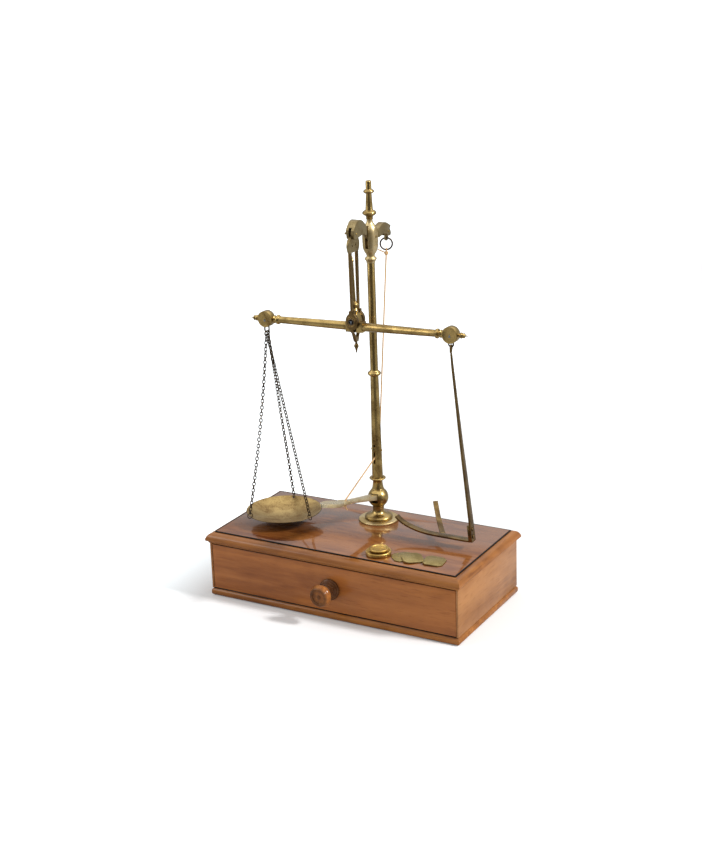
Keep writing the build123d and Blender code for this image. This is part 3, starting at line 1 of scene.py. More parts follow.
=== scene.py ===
"""Looks of an apothecary's pillar beam scale on a mahogany drawer box.

Lengths named in millimetres are turned into metres by MM. Every piece stands in
the frame's own place and rides on one of its bodies.
"""

from __future__ import annotations

import json
import logging
import math
from dataclasses import dataclass
from enum import Enum
from typing import Sequence

import bpy
import numpy as np
from mathutils import Matrix, Vector

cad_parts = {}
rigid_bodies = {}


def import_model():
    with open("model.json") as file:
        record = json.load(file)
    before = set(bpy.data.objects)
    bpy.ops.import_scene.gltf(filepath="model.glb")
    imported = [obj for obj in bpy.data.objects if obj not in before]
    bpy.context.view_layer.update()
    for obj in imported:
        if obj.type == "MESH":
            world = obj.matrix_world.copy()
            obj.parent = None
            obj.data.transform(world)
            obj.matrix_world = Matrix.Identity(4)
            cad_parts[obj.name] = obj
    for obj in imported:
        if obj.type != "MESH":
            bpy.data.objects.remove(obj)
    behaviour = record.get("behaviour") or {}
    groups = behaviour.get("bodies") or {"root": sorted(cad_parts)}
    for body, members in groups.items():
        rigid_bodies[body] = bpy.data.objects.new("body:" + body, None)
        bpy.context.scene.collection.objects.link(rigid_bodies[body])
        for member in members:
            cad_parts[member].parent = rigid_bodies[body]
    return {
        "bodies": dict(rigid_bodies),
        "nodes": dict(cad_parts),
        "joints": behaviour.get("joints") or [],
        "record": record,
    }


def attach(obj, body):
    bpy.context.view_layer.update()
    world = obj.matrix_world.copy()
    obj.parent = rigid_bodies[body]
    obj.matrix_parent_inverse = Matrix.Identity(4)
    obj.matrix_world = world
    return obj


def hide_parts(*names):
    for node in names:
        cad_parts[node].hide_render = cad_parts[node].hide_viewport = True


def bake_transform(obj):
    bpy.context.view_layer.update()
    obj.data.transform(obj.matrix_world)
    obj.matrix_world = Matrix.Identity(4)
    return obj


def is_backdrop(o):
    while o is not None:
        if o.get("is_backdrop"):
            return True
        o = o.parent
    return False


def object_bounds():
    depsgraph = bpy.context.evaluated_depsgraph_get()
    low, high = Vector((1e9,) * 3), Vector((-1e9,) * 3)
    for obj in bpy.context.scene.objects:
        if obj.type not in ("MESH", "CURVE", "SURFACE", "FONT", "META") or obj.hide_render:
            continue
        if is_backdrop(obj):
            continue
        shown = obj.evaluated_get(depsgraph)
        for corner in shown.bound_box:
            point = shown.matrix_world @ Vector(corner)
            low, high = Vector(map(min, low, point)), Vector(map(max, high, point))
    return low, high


MM = 0.001
LOG = logging.getLogger("pillar_scale")

Outline = Sequence[tuple]
Colour = tuple[float, float, float]

# colour of the dark bands painted on the wood, most of them painted shade
BAND_DARK = (0.008, 0.005, 0.004)
EVEN = (1.0, 1.0, 1.0)
PAN_BOWL = (-92.6, -9.2, 168.5, 90.45)  # centre and radius of the pan's inside, in millimetres; outside it the pan is painted dark as shade
SMOOTH_ANGLE = 36.0  # facets that meet at less than this, in degrees, shade as one
SLOT_EDGE_ANGLE = 38.0
TURNED_EDGE_ANGLE = 30.0
FLAT_ANGLE = 0.4
MERGE_REACH = 0.000002  # metres
LEAST_RADIUS = 0.02  # millimetres, where a turned outline meets its axis


# ---------------------------------------------------------------- shader maths
@dataclass(frozen=True)
class Sock:
    """One value in a shader, with Python's own operators."""

    tree: bpy.types.NodeTree
    out: bpy.types.NodeSocket

    def _math(self, operation: str, first: object, second: object) -> "Sock":
        """Add one Math node.

        Args:
            operation: the node's operation.
            first: a value or Sock.
            second: a value or Sock.

        Returns:
            The node's result.
        """
        node = self.tree.nodes.new("ShaderNodeMath")
        node.operation = operation
        for socket, value in zip(node.inputs, (first, second)):
            if isinstance(value, Sock):
                self.tree.links.new(value.out, socket)
            else:
                socket.default_value = float(value)
        return Sock(self.tree, node.outputs[0])

    def __add__(self, other: object) -> "Sock":
        """Sum."""
        return self._math("ADD", self, other)

    __radd__ = __add__

    def __sub__(self, other: object) -> "Sock":
        """Difference."""
        return self._math("SUBTRACT", self, other)

    def __rsub__(self, other: object) -> "Sock":
        """Reflected difference."""
        return self._math("SUBTRACT", other, self)

    def __mul__(self, other: object) -> "Sock":
        """Product."""
        return self._math("MULTIPLY", self, other)

    __rmul__ = __mul__

    def size(self) -> "Sock":
        """This value without its sign."""
        return self._math("ABSOLUTE", self, 0)

    def ramp(self, low: float, high: float) -> "Sock":
        """This value spread from low..high to 0..1, and held there.

        Args:
            low: the value that gives 0.
            high: the value that gives 1.

        Returns:
            The spread value.
        """
        node = self.tree.nodes.new("ShaderNodeMapRange")
        node.inputs["From Min"].default_value = low
        node.inputs["From Max"].default_value = high
        self.tree.links.new(self.out, node.inputs["Value"])
        return Sock(self.tree, node.outputs[0])


class Finish:
    """A material under way: one Principled shader and what feeds it."""

    def __init__(self, name: str, roughness: float, metallic: float = 0.0) -> None:
        """Start a material.

        Args:
            name: the material's name.
            roughness: the shader's roughness.
            metallic: 1 for bare metal.
        """
        self.material = bpy.data.materials.new(name)
        self.material.use_nodes = True
        self.tree = self.material.node_tree
        self.shader = self.tree.nodes["Principled BSDF"]
        self.shader.inputs["Roughness"].default_value = roughness
        self.shader.inputs["Metallic"].default_value = metallic
        self.place = self.node("ShaderNodeTexCoord", {}, {}).outputs["Object"]

    def node(self, kind: str, settings: dict, values: dict) -> bpy.types.Node:
        """Add any node.

        Args:
            kind: the node's type.
            settings: properties set first.
            values: socket values or links by socket name.

        Returns:
            The node.
        """
        made = self.tree.nodes.new(kind)
        for key, value in settings.items():
            setattr(made, key, value)
        for key, value in values.items():
            if isinstance(value, Sock):
                self.tree.links.new(value.out, made.inputs[key])
            elif isinstance(value, bpy.types.NodeSocket):
                self.tree.links.new(value, made.inputs[key])
            else:
                made.inputs[key].default_value = value
        return made

    def noise(self, stretch: Sequence[float], scale: float, detail: float = 4.0, warp: float = 0.0) -> Sock:
        """Noise over the piece.

        Args:
            stretch: factor along each axis.
            scale: spots in a metre.
            detail: octaves.
            warp: distortion.

        Returns:
            Noise from about 0.3 to 0.7.
        """
        mapping = {"Vector": self.place, "Scale": tuple(stretch)}
        where = self.node("ShaderNodeMapping", {}, mapping).outputs[0]
        values = {"Vector": where, "Scale": scale, "Detail": detail, "Distortion": warp}
        return Sock(self.tree, self.node("ShaderNodeTexNoise", {}, values).outputs["Fac"])

    def reach(self, axis: str) -> Sock:
        """Distance along an axis.

        Args:
            axis: X, Y or Z, or |X, |Y or |Z for the distance without its sign.

        Returns:
            The distance in metres.
        """
        parts = self.node("ShaderNodeSeparateXYZ", {}, {0: self.place})
        along = Sock(self.tree, parts.outputs[axis[-1]])
        return along.size() if axis.startswith("|") else along

    def blend(self, mask: Sock, low: object, high: object) -> bpy.types.NodeSocket:
        """Mix two colours.

        Args:
            mask: 0 gives low, 1 gives high.
            low: a colour or a colour socket.
            high: a colour or a colour socket.

        Returns:
            The mixed colour.
        """
        made = self.tree.nodes.new("ShaderNodeMix")
        made.data_type = "RGBA"
        self.tree.links.new(mask.out, made.inputs[0])
        for index, value in ((6, low), (7, high)):
            if isinstance(value, bpy.types.NodeSocket):
                self.tree.links.new(value, made.inputs[index])
            else:
                made.inputs[index].default_value = (*value, 1.0)
        return made.outputs[2]

    def feed(self, socket: str, value: object) -> None:
        """Link or set one of the shader's sockets.

        Args:
            socket: the socket's name.
            value: a Sock, a node's socket or a plain value.
        """
        if isinstance(value, Sock):
            self.tree.links.new(value.out, self.shader.inputs[socket])
        elif isinstance(value, bpy.types.NodeSocket):
            self.tree.links.new(value, self.shader.inputs[socket])
        else:
            self.shader.inputs[socket].default_value = value

    def bump(self, height: Sock, depth: float, strength: float = 1.0) -> None:
        """Feed the normal from a height of 0 to 1 that is this deep in metres."""
        values = {"Height": height, "Distance": depth, "Strength": strength}
        self.feed("Normal", self.node("ShaderNodeBump", {}, values).outputs[0])


# ---------------------------------------------------------------- finishes
@dataclass(frozen=True)
class Brass:
    """Aged brass: bright worn metal under a brown tarnish."""

    name: str
    bright: Colour
    tarnish: Colour
    dark: Colour
    roughness: float = 0.3
    bowl: tuple[float, float, float, float] | None = None
    cloud_scale: float = 55
    spot_scale: float = 900
    brushed: tuple[float, float, float] = (1.0, 1.0, 0.25)
    brush_scale: float = 2200
    pit_share: float = 0.7
    outside_shade_share: float = 0.85
    outside_shade_blur: float = 0.0001

    def make(self) -> bpy.types.Material:
        """Build the material; outside its bowl's sphere (x, y, z, radius) it is painted dark as shade.

        Returns:
            The material.
        """
        coat = Finish(self.name, self.roughness, 1.0)
        cloud = coat.noise(EVEN, self.cloud_scale, 6, 0.6)
        spots = coat.noise(EVEN, self.spot_scale, 5, 0.3)
        streak = coat.noise(self.brushed, self.brush_scale, 3)
        mask = (cloud * 0.75 + spots * 0.35).ramp(0.45, 0.675)
        base = coat.blend(mask, self.bright, self.tarnish)
        base = coat.blend(spots.ramp(0.62, 0.72) * self.pit_share, base, self.dark)
        # painted shade: beyond the bowl's sphere the pan's outside and underside are darkened toward the dark
        # colour
        if self.bowl:
            centre = tuple(each * MM for each in self.bowl[:3])
            span = coat.node("ShaderNodeVectorMath", {"operation": "DISTANCE"}, {0: coat.place, 1: centre})
            edge = self.bowl[3] * MM
            away = Sock(coat.tree, span.outputs["Value"])
            outside = away.ramp(edge - self.outside_shade_blur, edge + self.outside_shade_blur)
            base = coat.blend(outside * self.outside_shade_share, base, self.dark)
        coat.feed("Base Color", base)
        coat.feed("Roughness", (mask * 0.22 + streak * 0.12 + (self.roughness - 0.1)))
        coat.bump(spots * 0.6 + streak * 0.4, 0.00004, 0.5)
        return coat.material


@dataclass(frozen=True)
class Steel:
    """Dark worn steel or iron."""

    name: str
    low: Colour
    high: Colour
    roughness: float = 0.38

    def make(self) -> bpy.types.Material:
        """Build the material.

        Returns:
            The material.
        """
        coat = Finish(self.name, self.roughness, 1.0)
        cloud = coat.noise(EVEN, 260, 5, 0.4)
        coat.feed("Base Color", coat.blend(cloud.ramp(0.35, 0.65), self.low, self.high))
        coat.feed("Roughness", cloud * 0.3 + (self.roughness - 0.12))
        coat.bump(cloud, 0.00003, 0.4)
        return coat.material


@dataclass(frozen=True)
class Mahogany:
    """Polished wood with grain along one axis, with dark bands painted past some places.

    Each of its dark bands is an axis, the place in millimetres where the dark starts,
    the place where it is full, and its share; most of them are painted shade.
    """

    name: str
    light: Colour
    middle: Colour
    dark: Colour
    grain: tuple[float, float, float] = (1.0, 1.0, 1.0)
    gloss: float = 0.7
    roughness: float = 0.34
    coat_roughness: float = 0.12
    figure: float = 0.4
    streak: float = 0.4
    shine: float = 0.1
    dark_bands: tuple[tuple[str, float, float, float], ...] = ()
    band_scale: float = 26
    fine_scale: float = 210
    pore_scale: float = 620
    blotch: tuple[float, float, float] = (0.5, 1.0, 1.0)
    blotch_scale: float = 16

    def make(self) -> bpy.types.Material:
        """Build the material.

        Returns:
            The material.
        """
        coat = Finish(self.name, self.roughness)
        bands = coat.noise(self.grain, self.band_scale, 6, 1.2)
        fine = coat.noise(self.grain, self.fine_scale, 4, 0.2)
        pores = coat.noise(self.grain, self.pore_scale, 2)
        blotch = coat.noise(self.blotch, self.blotch_scale, 5, 1.8)
        tone = bands * (1.0 - self.figure) + blotch * self.figure
        base = coat.blend(tone.ramp(0.34, 0.62), self.dark, self.middle)
        base = coat.blend(fine.ramp(0.42, 0.75) * self.streak, base, self.light)
        base = coat.blend(pores.ramp(0.58, 0.7) * self.streak, base, self.dark)
        # dark bands painted over the grain: painted shade on the drawer front and knob, a plain dark line on
        # the base
        for axis, clear, full, share in self.dark_bands:
            base = coat.blend(coat.reach(axis).ramp(clear * MM, full * MM) * share, base, BAND_DARK)
        coat.feed("Base Color", base)
        coat.feed("Roughness", pores * 0.16 + (self.roughness - 0.08))
        coat.feed("Coat Weight", self.gloss)
        coat.shader.inputs["Specular IOR Level"].default_value = self.shine
        coat.shader.inputs["Coat Roughness"].default_value = self.coat_roughness
        coat.bump(pores * 0.5 + fine * 0.5, 0.00006, 0.35)
        return coat.material


@dataclass(frozen=True)
class Plain:
    """A near even finish with a light mottle, such as stringing or twine."""

    name: str
    colour: Colour
    mottle: Colour
    scale: float
    roughness: float
    depth: float = 0.00005
    shine: float = 0.5

    def make(self) -> bpy.types.Material:
        """Build the material.

        Returns:
            The material.
        """
        coat = Finish(self.name, self.roughness)
        coat.shader.inputs["Specular IOR Level"].default_value = self.shine
        spots = coat.noise(EVEN, self.scale, 4, 0.3)
        coat.feed("Base Color", coat.blend(spots.ramp(0.35, 0.65), self.colour, self.mottle))
        coat.bump(spots, self.depth, 0.6)
        return coat.material


# ---------------------------------------------------------------- modelling
def deselect() -> None:
    """Leave nothing selected, in object mode."""
    if bpy.context.object and bpy.context.object.mode != "OBJECT":
        bpy.ops.object.mode_set(mode="OBJECT")
    bpy.ops.object.select_all(action="DESELECT")


def take(piece: bpy.types.Object) -> None:
    """Make one object the only one selected, and active.

    Args:
        piece: the object.
    """
    deselect()
    piece.select_set(True)
    bpy.context.view_layer.objects.active = piece


def apply_all(piece: bpy.types.Object) -> None:
    """Apply every modifier of a piece.

    Args:
        piece: the object.
    """
    take(piece)
    for modifier in list(piece.modifiers):
        bpy.ops.object.modifier_apply(modifier=modifier.name)


def soften(piece: bpy.types.Object, width: float, segments: int = 2, angle: float = 32.0) -> bpy.types.Object:
    """Round the sharp edges of a piece and shade it smooth.

    Args:
        piece: the mesh object.
        width: width of the rounding in millimetres, 0 for none.
        segments: facets across it.
        angle: edges sharper than this, in degrees, are rounded.

    Returns:
        The piece.
    """
    if width:
        bevel = piece.modifiers.new("edge", "BEVEL")
        bevel.width = width * MM
        bevel.segments = segments
        bevel.limit_method = "ANGLE"
        bevel.angle_limit = math.radians(angle)
        bevel.use_clamp_overlap = True
    apply_all(piece)
    bpy.ops.object.shade_smooth_by_angle(angle=math.radians(SMOOTH_ANGLE))
    return piece


def copy_node(frame: dict, node: str, name: str) -> bpy.types.Object:
    """A merged copy of a frame node, free to be worked on.

    Args:
        node: the node's name.
        name: the new piece's name.

    Returns:
        The copy.
    """
    source = frame["nodes"][node]
    piece = bpy.data.objects.new(name, source.data.copy())
    bpy.context.scene.collection.objects.link(piece)
    piece.data.materials.clear()
    take(piece)
    bpy.ops.object.mode_set(mode="EDIT")
    bpy.ops.mesh.select_all(action="SELECT")
    bpy.ops.mesh.remove_doubles(threshold=MERGE_REACH)
    bpy.ops.mesh.dissolve_limited(angle_limit=math.radians(FLAT_ANGLE))
    bpy.ops.object.mode_set(mode="OBJECT")
    return piece


def run_of(outline: Outline, steps: int = 6) -> list[tuple[float, float]]:
    """Points of an outline whose bulged runs are arcs.

    Args:
        outline: (radius, height, bulge) in millimetres, the bulge outward.
        steps: facets along a bulged run.

    Returns:
        (radius, height) points.
    """
    points = [outline[0][:2]]
    for start, end in zip(outline, outline[1:]):
        bulge = end[2] if len(end) > 2 else 0.0
        chord = Vector(end[:2]) - Vector(start[:2])
        if bulge and chord.length > 1e-6:
            side = Vector((chord.y, -chord.x)).normalized()
            for step in range(1, steps):
                part = step / steps
                sag = bulge * 4 * part * (1 - part)
                spot = Vector(start[:2]) + chord * part + side * sag
                points.append((spot.x, spot.y))
        points.append(end[:2])
    return points


def turn_up(name: str, outline: Outline, facets: int = 56, edge: float = 0.12) -> bpy.types.Object:
    """Turn a solid on the lathe, about the Z axis at the origin.

    Args:
        name: the piece's name.
        outline: (radius, height, bulge) from one end to the other.
        facets: faces round it.
        edge: rounding of its sharp edges in millimetres.

    Returns:
        The turned piece.
    """
    points = [(max(radius, LEAST_RADIUS), height) for radius, height in run_of(outline)]
    deselect()
    radius, height = points[0]
    bpy.ops.mesh.primitive_circle_add(
        vertices=facets, radius=radius * MM, fill_type="NGON", location=(0, 0, height * MM)
    )
    piece = bpy.context.object
    piece.name = name
    bpy.ops.object.transform_apply(location=True, rotation=True, scale=True)
    bpy.ops.object.mode_set(mode="EDIT")
    bpy.ops.mesh.select_all(action="SELECT")
    for following, rise in points[1:]:
        step = (0, 0, (rise - height) * MM)
        bpy.ops.mesh.extrude_region_move(TRANSFORM_OT_translate={"value": step})
        factor = following / radius
        bpy.ops.transform.resize(value=(factor, factor, 1), center_override=(0, 0, rise * MM))
        radius, height = following, rise
    bpy.ops.mesh.select_all(action="SELECT")
    bpy.ops.mesh.normals_make_consistent(inside=False)
    bpy.ops.object.mode_set(mode="OBJECT")
    return soften(piece, edge, 2, TURNED_EDGE_ANGLE)


def put(piece: bpy.types.Object, place: Matrix) -> bpy.types.Object:
    """Move a piece's mesh to its place, its object staying at the origin.

    Args:
        piece: the mesh object.
        place: where its mesh goes.

    Returns:
        The piece.
    """
    piece.data.transform(place)
    piece.data.update()
    return piece


def upright(x: float, y: float) -> Matrix:
    """Place for a piece turned about a vertical axis at x, y in millimetres."""
    return Matrix.Translation((x * MM, y * MM, 0))


def cut_out(piece: bpy.types.Object, low: Sequence[float], high: Sequence[float]) -> None:
    """Saw a box-shaped opening out of a piece.

    Args:
        piece: the mesh object.
        low: lowest corner of the opening in millimetres.
        high: highest corner of the opening in millimetres.
    """
    centre = [(a + b) / 2 * MM for a, b in zip(low, high)]
    size = [(b - a) * MM for a, b in zip(low, high)]
    deselect()
    bpy.ops.mesh.primitive_cube_add(size=1, location=centre)
    saw = bpy.context.object
    saw.scale = size
    bpy.ops.object.transform_apply(location=True, rotation=True, scale=True)
    carve(piece, saw)


def carve(piece: bpy.types.Object, tool: bpy.types.Object) -> None:
    """Take one mesh out of another and drop the tool.

    Args:
        piece: the mesh object that is cut.
        tool: the mesh object that cuts it.
    """
    cut = piece.modifiers.new("cut", "BOOLEAN")
    cut.object = tool
    cut.operation = "DIFFERENCE"
    cut.solver = "EXACT"
    apply_all(piece)
    bpy.data.objects.remove(tool, do_unlink=True)


def rod_between(name: str, start: Sequence[float], end: Sequence[float], radius: float) -> bpy.types.Object:
    """A round rod with softened ends.

    Args:
        name: the piece's name.
        start: one end in millimetres.
        end: the other end in millimetres.
        radius: its radius in millimetres.

    Returns:
        The rod.
    """
    first = Vector(start) * MM
    line = Vector(end) * MM - first
    deselect()
    bpy.ops.mesh.primitive_cylinder_add(vertices=32, radius=radius * MM, depth=line.length)
    rod = bpy.context.object
    rod.name = name
    turn = Vector((0, 0, 1)).rotation_difference(line).to_matrix().to_4x4()
    put(rod, Matrix.Translation(first + line / 2) @ turn)
    return soften(rod, radius * 0.25, 2)


def join(name: str, pieces: Sequence[bpy.types.Object]) -> bpy.types.Object:
    """Make several meshes one.

    Args:
        name: the joined piece's name.
        pieces: the meshes.

    Returns:
        The joined piece.
    """
    take(pieces[0])
    for piece in pieces[1:]:
        piece.select_set(True)
    bpy.ops.object.join()
    pieces[0].name = name
    return pieces[0]


def split(piece: bpy.types.Object) -> list[bpy.types.Object]:
    """Part a mesh into its loose bodies.

    Args:
        piece: the mesh object.

    Returns:
        The bodies.
    """
    take(piece)
    bpy.ops.object.mode_set(mode="EDIT")
    bpy.ops.mesh.select_all(action="SELECT")
    bpy.ops.mesh.separate(type="LOOSE")
    bpy.ops.object.mode_set(mode="OBJECT")
    return list(bpy.context.selected_objects)


# ---------------------------------------------------------------- the bench
class Coat(Enum):
    """The record's finishes."""

    CASE = "mahogany_case"
    TOP = "mahogany_top"
    LINE = "ebonised_line"
    LINING = "drawer_lining"
    KNOB = "turned_knob"
    BRASS = "brass"
    WEIGHT = "weight_brass"
    STEEL = "steel"
    TWINE = "twine"


def tint(red: int, green: int, blue: int) -> Colour:
    """A colour written as display values from 0 to 255, made linear."""
    shares = [each / 255 for each in (red, green, blue)]
    return tuple(s / 12.92 if s <= 0.04045 else ((s + 0.055) / 1.055) ** 2.4 for s in shares)


class Bench:
    """The frame, the finishes, and the fitting of finished pieces to bodies."""

    def __init__(self) -> None:
        """Load the frame and mix the finishes."""
        self.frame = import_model()
        self.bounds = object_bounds()
        along_x = (0.1, 1.0, 1.0)
        along_y = (1.0, 0.1, 1.0)
        front = dict(light=tint(176, 112, 56), middle=tint(160, 98, 48), dark=tint(116, 62, 25))
        warm = dict(light=tint(180, 120, 58), middle=tint(158, 100, 46), dark=tint(104, 58, 22))
        side = dict(light=tint(176, 122, 70), middle=tint(158, 110, 68), dark=tint(120, 74, 38))
        finishes = [
            # painted shade: the drawer front's top edge is darkened for the shadow in the gap under the
            # moulding
            Mahogany("drawer front", grain=along_x, gloss=0.5, dark_bands=(("Z", 59.7, 60.0, 0.6),), **front),
            # the base is painted fully dark above 8.1 mm, along its step under the carcase
            Mahogany("base", grain=along_x, gloss=0.4, dark_bands=(("Z", 7.9, 8.1, 1.0),), **warm),
            Mahogany("rail", grain=along_x, gloss=0.5, **warm),
            Mahogany("side rail", grain=along_y, gloss=0.5, **warm),
            Mahogany("side", grain=along_y, gloss=0.4, coat_roughness=0.2, **side),
            Mahogany("back", grain=along_x, gloss=0.2, coat_roughness=0.35, **side),
            Mahogany(
                "top",
                tint(170, 110, 56),
                tint(146, 90, 42),
                tint(96, 48, 20),
                grain=(0.2, 1.0, 1.0),
                gloss=0.85,
                roughness=0.3,
                coat_roughness=0.05,
                figure=0.7,
            ),
            Mahogany(
                "knob",
                tint(214, 140, 62),
                tint(150, 92, 44),
                tint(84, 48, 26),
                grain=(1.0, 0.3, 1.0),
                gloss=0.22,
                coat_roughness=0.12,
                figure=0.3,
                streak=0.3,
                # painted shade: the knob's end face and its rose by the drawer front are darkened
                dark_bands=(("Y", -95.0, -96.5, 0.5), ("Y", -83.0, -80.0, 0.6)),
            ),
            Mahogany(
                "lining",
                tint(196, 160, 118),
                tint(170, 132, 92),
                tint(128, 92, 60),
                grain=along_x,
                gloss=0.0,
                roughness=0.6,
            ),
            Plain("ebonised line", tint(14, 11, 11), tint(30, 24, 22), 300, 0.6, shine=0.15),
            Brass("brass", tint(178, 152, 96), tint(114, 92, 54), tint(42, 32, 18), 0.25),
            Brass("pale brass", tint(208, 188, 144), tint(160, 138, 92), tint(86, 64, 38), 0.36),
            # painted highlight: the lever's brass is paler and whiter for the light on its upturned leaf
            Brass("lever highlight brass", tint(232, 216, 178), tint(196, 176, 132), tint(146, 124, 86), 0.28),
            Brass("old brass", tint(156, 140, 102), tint(116, 98, 64), tint(56, 42, 26), 0.34),
            Brass("dark brass", tint(130, 106, 66), tint(84, 66, 42), tint(36, 26, 16), 0.24),
            Brass("pan brass", tint(172, 146, 94), tint(122, 96, 58), tint(50, 36, 22), 0.34, bowl=PAN_BOWL),
            Brass("disc brass", tint(214, 182, 108), tint(156, 124, 66), tint(60, 44, 22), 0.34),
            Brass("plate brass", tint(172, 154, 104), tint(128, 112, 70), tint(58, 48, 28), 0.42),
            Steel("dark steel", tint(52, 44, 38), tint(104, 92, 78)),
            Steel("chain steel", tint(44, 34, 26), tint(98, 82, 62), 0.34),
            Steel("knife steel", tint(92, 98, 108), tint(150, 156, 164), 0.26),
            Steel("iron", tint(46, 34, 24), tint(86, 66, 48), 0.5),
            Plain("twine", tint(206, 168, 118), tint(164, 126, 82), 1800, 0.85, depth=0.0001),
        ]
        self.finishes = {finish.name: finish.make() for finish in finishes}

    def copy(self, node: str, width: float = 0.15, segments: int = 2) -> bpy.types.Object:
        """A node's form, its sharp edges softened by this width in millimetres."""
        return soften(copy_node(self.frame, node, node + "_look"), width, segments)

    def fit(
        self, piece: bpy.types.Object, finish: str, coat: Coat, body: str, *nodes: str
    ) -> bpy.types.Object:
        """Give a piece its finish and set it on its body in place of nodes.

        Args:
            piece: the finished mesh.
            finish: the finish's name.
            coat: the record's slot; not used.
            body: the body it rides on.
            nodes: the nodes it stands for.

        Returns:
            The piece.
        """
        piece.data.materials.clear()
        piece.data.materials.append(self.finishes[finish])
        if nodes:
            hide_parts(*nodes)
        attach(piece, body)
        LOG.info("%s: %d faces on %s", piece.name, len(piece.data.polygons), body)
        return piece


    def dress(self, body: str, finish: str, coat: Coat, width: float, *nodes: str) -> None:
        """Fit a copy of each node, its edges softened by this width in millimetres."""
        for node in nodes:
            self.fit(self.copy(node, width), finish, coat, body, node)


# ---------------------------------------------------------------- drawer box
@dataclass
class DrawerBox:
    """The fixed box: base, sides, back, and the polished top with its rails."""

    bench: Bench
    body: str = "stand"
    half_x: float = 145.5
    half_y: float = 68.1
    rail_top: float = 73.2
    rail_fall: float = 9.0
    rail_round: float = 8.35
    rail_nose: float = 8.3
    rail_fullness: float = 2.3
    rail_steps: int = 12
    rail_bead: tuple = ((8.05, 64.9), (7.4, 64.3), (5.6, 63.9), (5.6, 62.6), (4.5, 61.4), (0, 61.4))

    def build(self) -> None:
        """Make and dress the box."""
        dress = self.bench.dress
        dress(self.body, "base", Coat.CASE, 0.25, "base_board")
        dress(self.body, "side", Coat.CASE, 0.25, "carcase_sides")
        dress(self.body, "back", Coat.CASE, 0.2, "back_board")
        dress(self.body, "top", Coat.TOP, 0.1, "top_panel")
        dress(self.body, "ebonised line", Coat.LINE, 0.08, "top_stringing")
        self.rails()

    def section(self) -> list[tuple[float, float]]:
        """The moulding's section, a long round over a bead.

        Returns:
            (out, height) points in millimetres.
        """
        points = []
        for step in range(self.rail_steps + 1):
            out = self.rail_nose * math.sin(math.radians(90) * step / self.rail_steps)
            fall = 1 - (1 - (out / self.rail_round) ** self.rail_fullness) ** 0.5
            points.append((out, self.rail_top - self.rail_fall * fall))
        return points + list(self.rail_bead)

    def rail(self, name: str, turn: float, half_length: float, half_depth: float) -> bpy.types.Object:
        """Run a mitred moulding along the front, then turn it to its side.

        Args:
            name: the piece's name.
            turn: degrees about the upright axis.
            half_length: half the length of its inner edge in millimetres.
            half_depth: its inner edge's distance from the middle.

        Returns:
            The moulding.
        """
        section = self.section()
        deselect()
        bpy.ops.mesh.primitive_circle_add(vertices=len(section), radius=MM, fill_type="NGON")
        rail = bpy.context.object
        rail.name = name
        for vertex, (out, height) in zip(rail.data.vertices, section):
            vertex.co = Vector((-half_length - out, -half_depth - out, height)) * MM
        bpy.ops.object.mode_set(mode="EDIT")
        bpy.ops.mesh.select_all(action="SELECT")
        bpy.ops.mesh.extrude_region_move(TRANSFORM_OT_translate={"value": (2 * half_length * MM, 0, 0)})
        bpy.ops.mesh.select_all(action="SELECT")
        bpy.ops.mesh.normals_make_consistent(inside=False)
        bpy.ops.object.mode_set(mode="OBJECT")
        for vertex in rail.data.vertices:
            if vertex.co.x > 0:
                vertex.co.x = -vertex.co.y + (half_length - half_depth) * MM
        put(rail, Matrix.Rotation(math.radians(turn), 4, "Z"))
        return soften(rail, 0)

    def rails(self) -> None:
        """Dress the four mouldings, each with its grain along it."""
        for index, turn in enumerate((0, 180, 90, 270), start=1):
            halves, finish = (self.half_x, self.half_y), "rail"
            if turn % 180:
                halves, finish = (self.half_y, self.half_x), "side rail"
            rail = self.rail(f"top_moulding_{index}", turn, *halves)
            self.bench.fit(rail, finish, Coat.CASE, self.body, "top_moulding")


@dataclass
class Drawer:
    """The drawer and its turned knob."""

    bench: Bench
    body: str = "drawer"
    front_y: float = -72.2
    knob_height: float = 34.6
    knob_length: float = 24.8
    knob_radius: float = 11.9
    neck_radius: float = 4.4
    rim_inner: float = 6.9
    button: float = 2.3
    tenon_radius: float = 4.0
    front_thickness: float = 10.0

    def build(self) -> None:
        """Make and dress the drawer."""
        bench = self.bench
        front = bench.copy("drawer_front", 0.35, 3)
        bench.fit(front, "drawer front", Coat.CASE, self.body, "drawer_front")
        bench.dress(self.body, "lining", Coat.LINING, 0.3, "drawer_sides", "drawer_back", "drawer_bottom")
        bench.fit(self.knob(), "knob", Coat.KNOB, self.body, "drawer_knob")

    def knob(self) -> bpy.types.Object:
        """Turn the knob and lay it along the drawer's travel.

        Returns:
            The knob.
        """
        end = self.knob_length
        rim = self.knob_radius
        outline = [
            (0, -self.front_thickness + 0.1),
            (self.tenon_radius - 0.05, -self.front_thickness + 0.1), (self.tenon_radius - 0.05, 0),
            (rim - 0.5, 0.02), (rim - 0.5, 2.4, 0.5), (10.2, 2.9), (9.6, 4.3, 0.3), (7.9, 4.7),
            (7.2, 6.2, 0.3), (self.neck_radius, 8.6, -0.6), (self.neck_radius + 0.4, 11.4, -0.3),
            (rim - 0.6, 17.0, 1.2), (rim - 0.6, 20.6, 0.6), (9.9, end - 0.9, 0.5),
            (9.0, end - 0.02, 0.2), (self.rim_inner, end - 0.02), (self.rim_inner - 0.5, end - 1.5),
            (self.button, end - 1.5), (self.button, end - 0.9), (1.5, end - 0.4), (0, end - 0.3),
        ]
        knob = turn_up("drawer_knob_look", outline, 72, 0.18)
        place = Matrix.Translation((0, self.front_y * MM, self.knob_height * MM))
        return put(knob, place @ Matrix.Rotation(math.radians(90), 4, "X"))


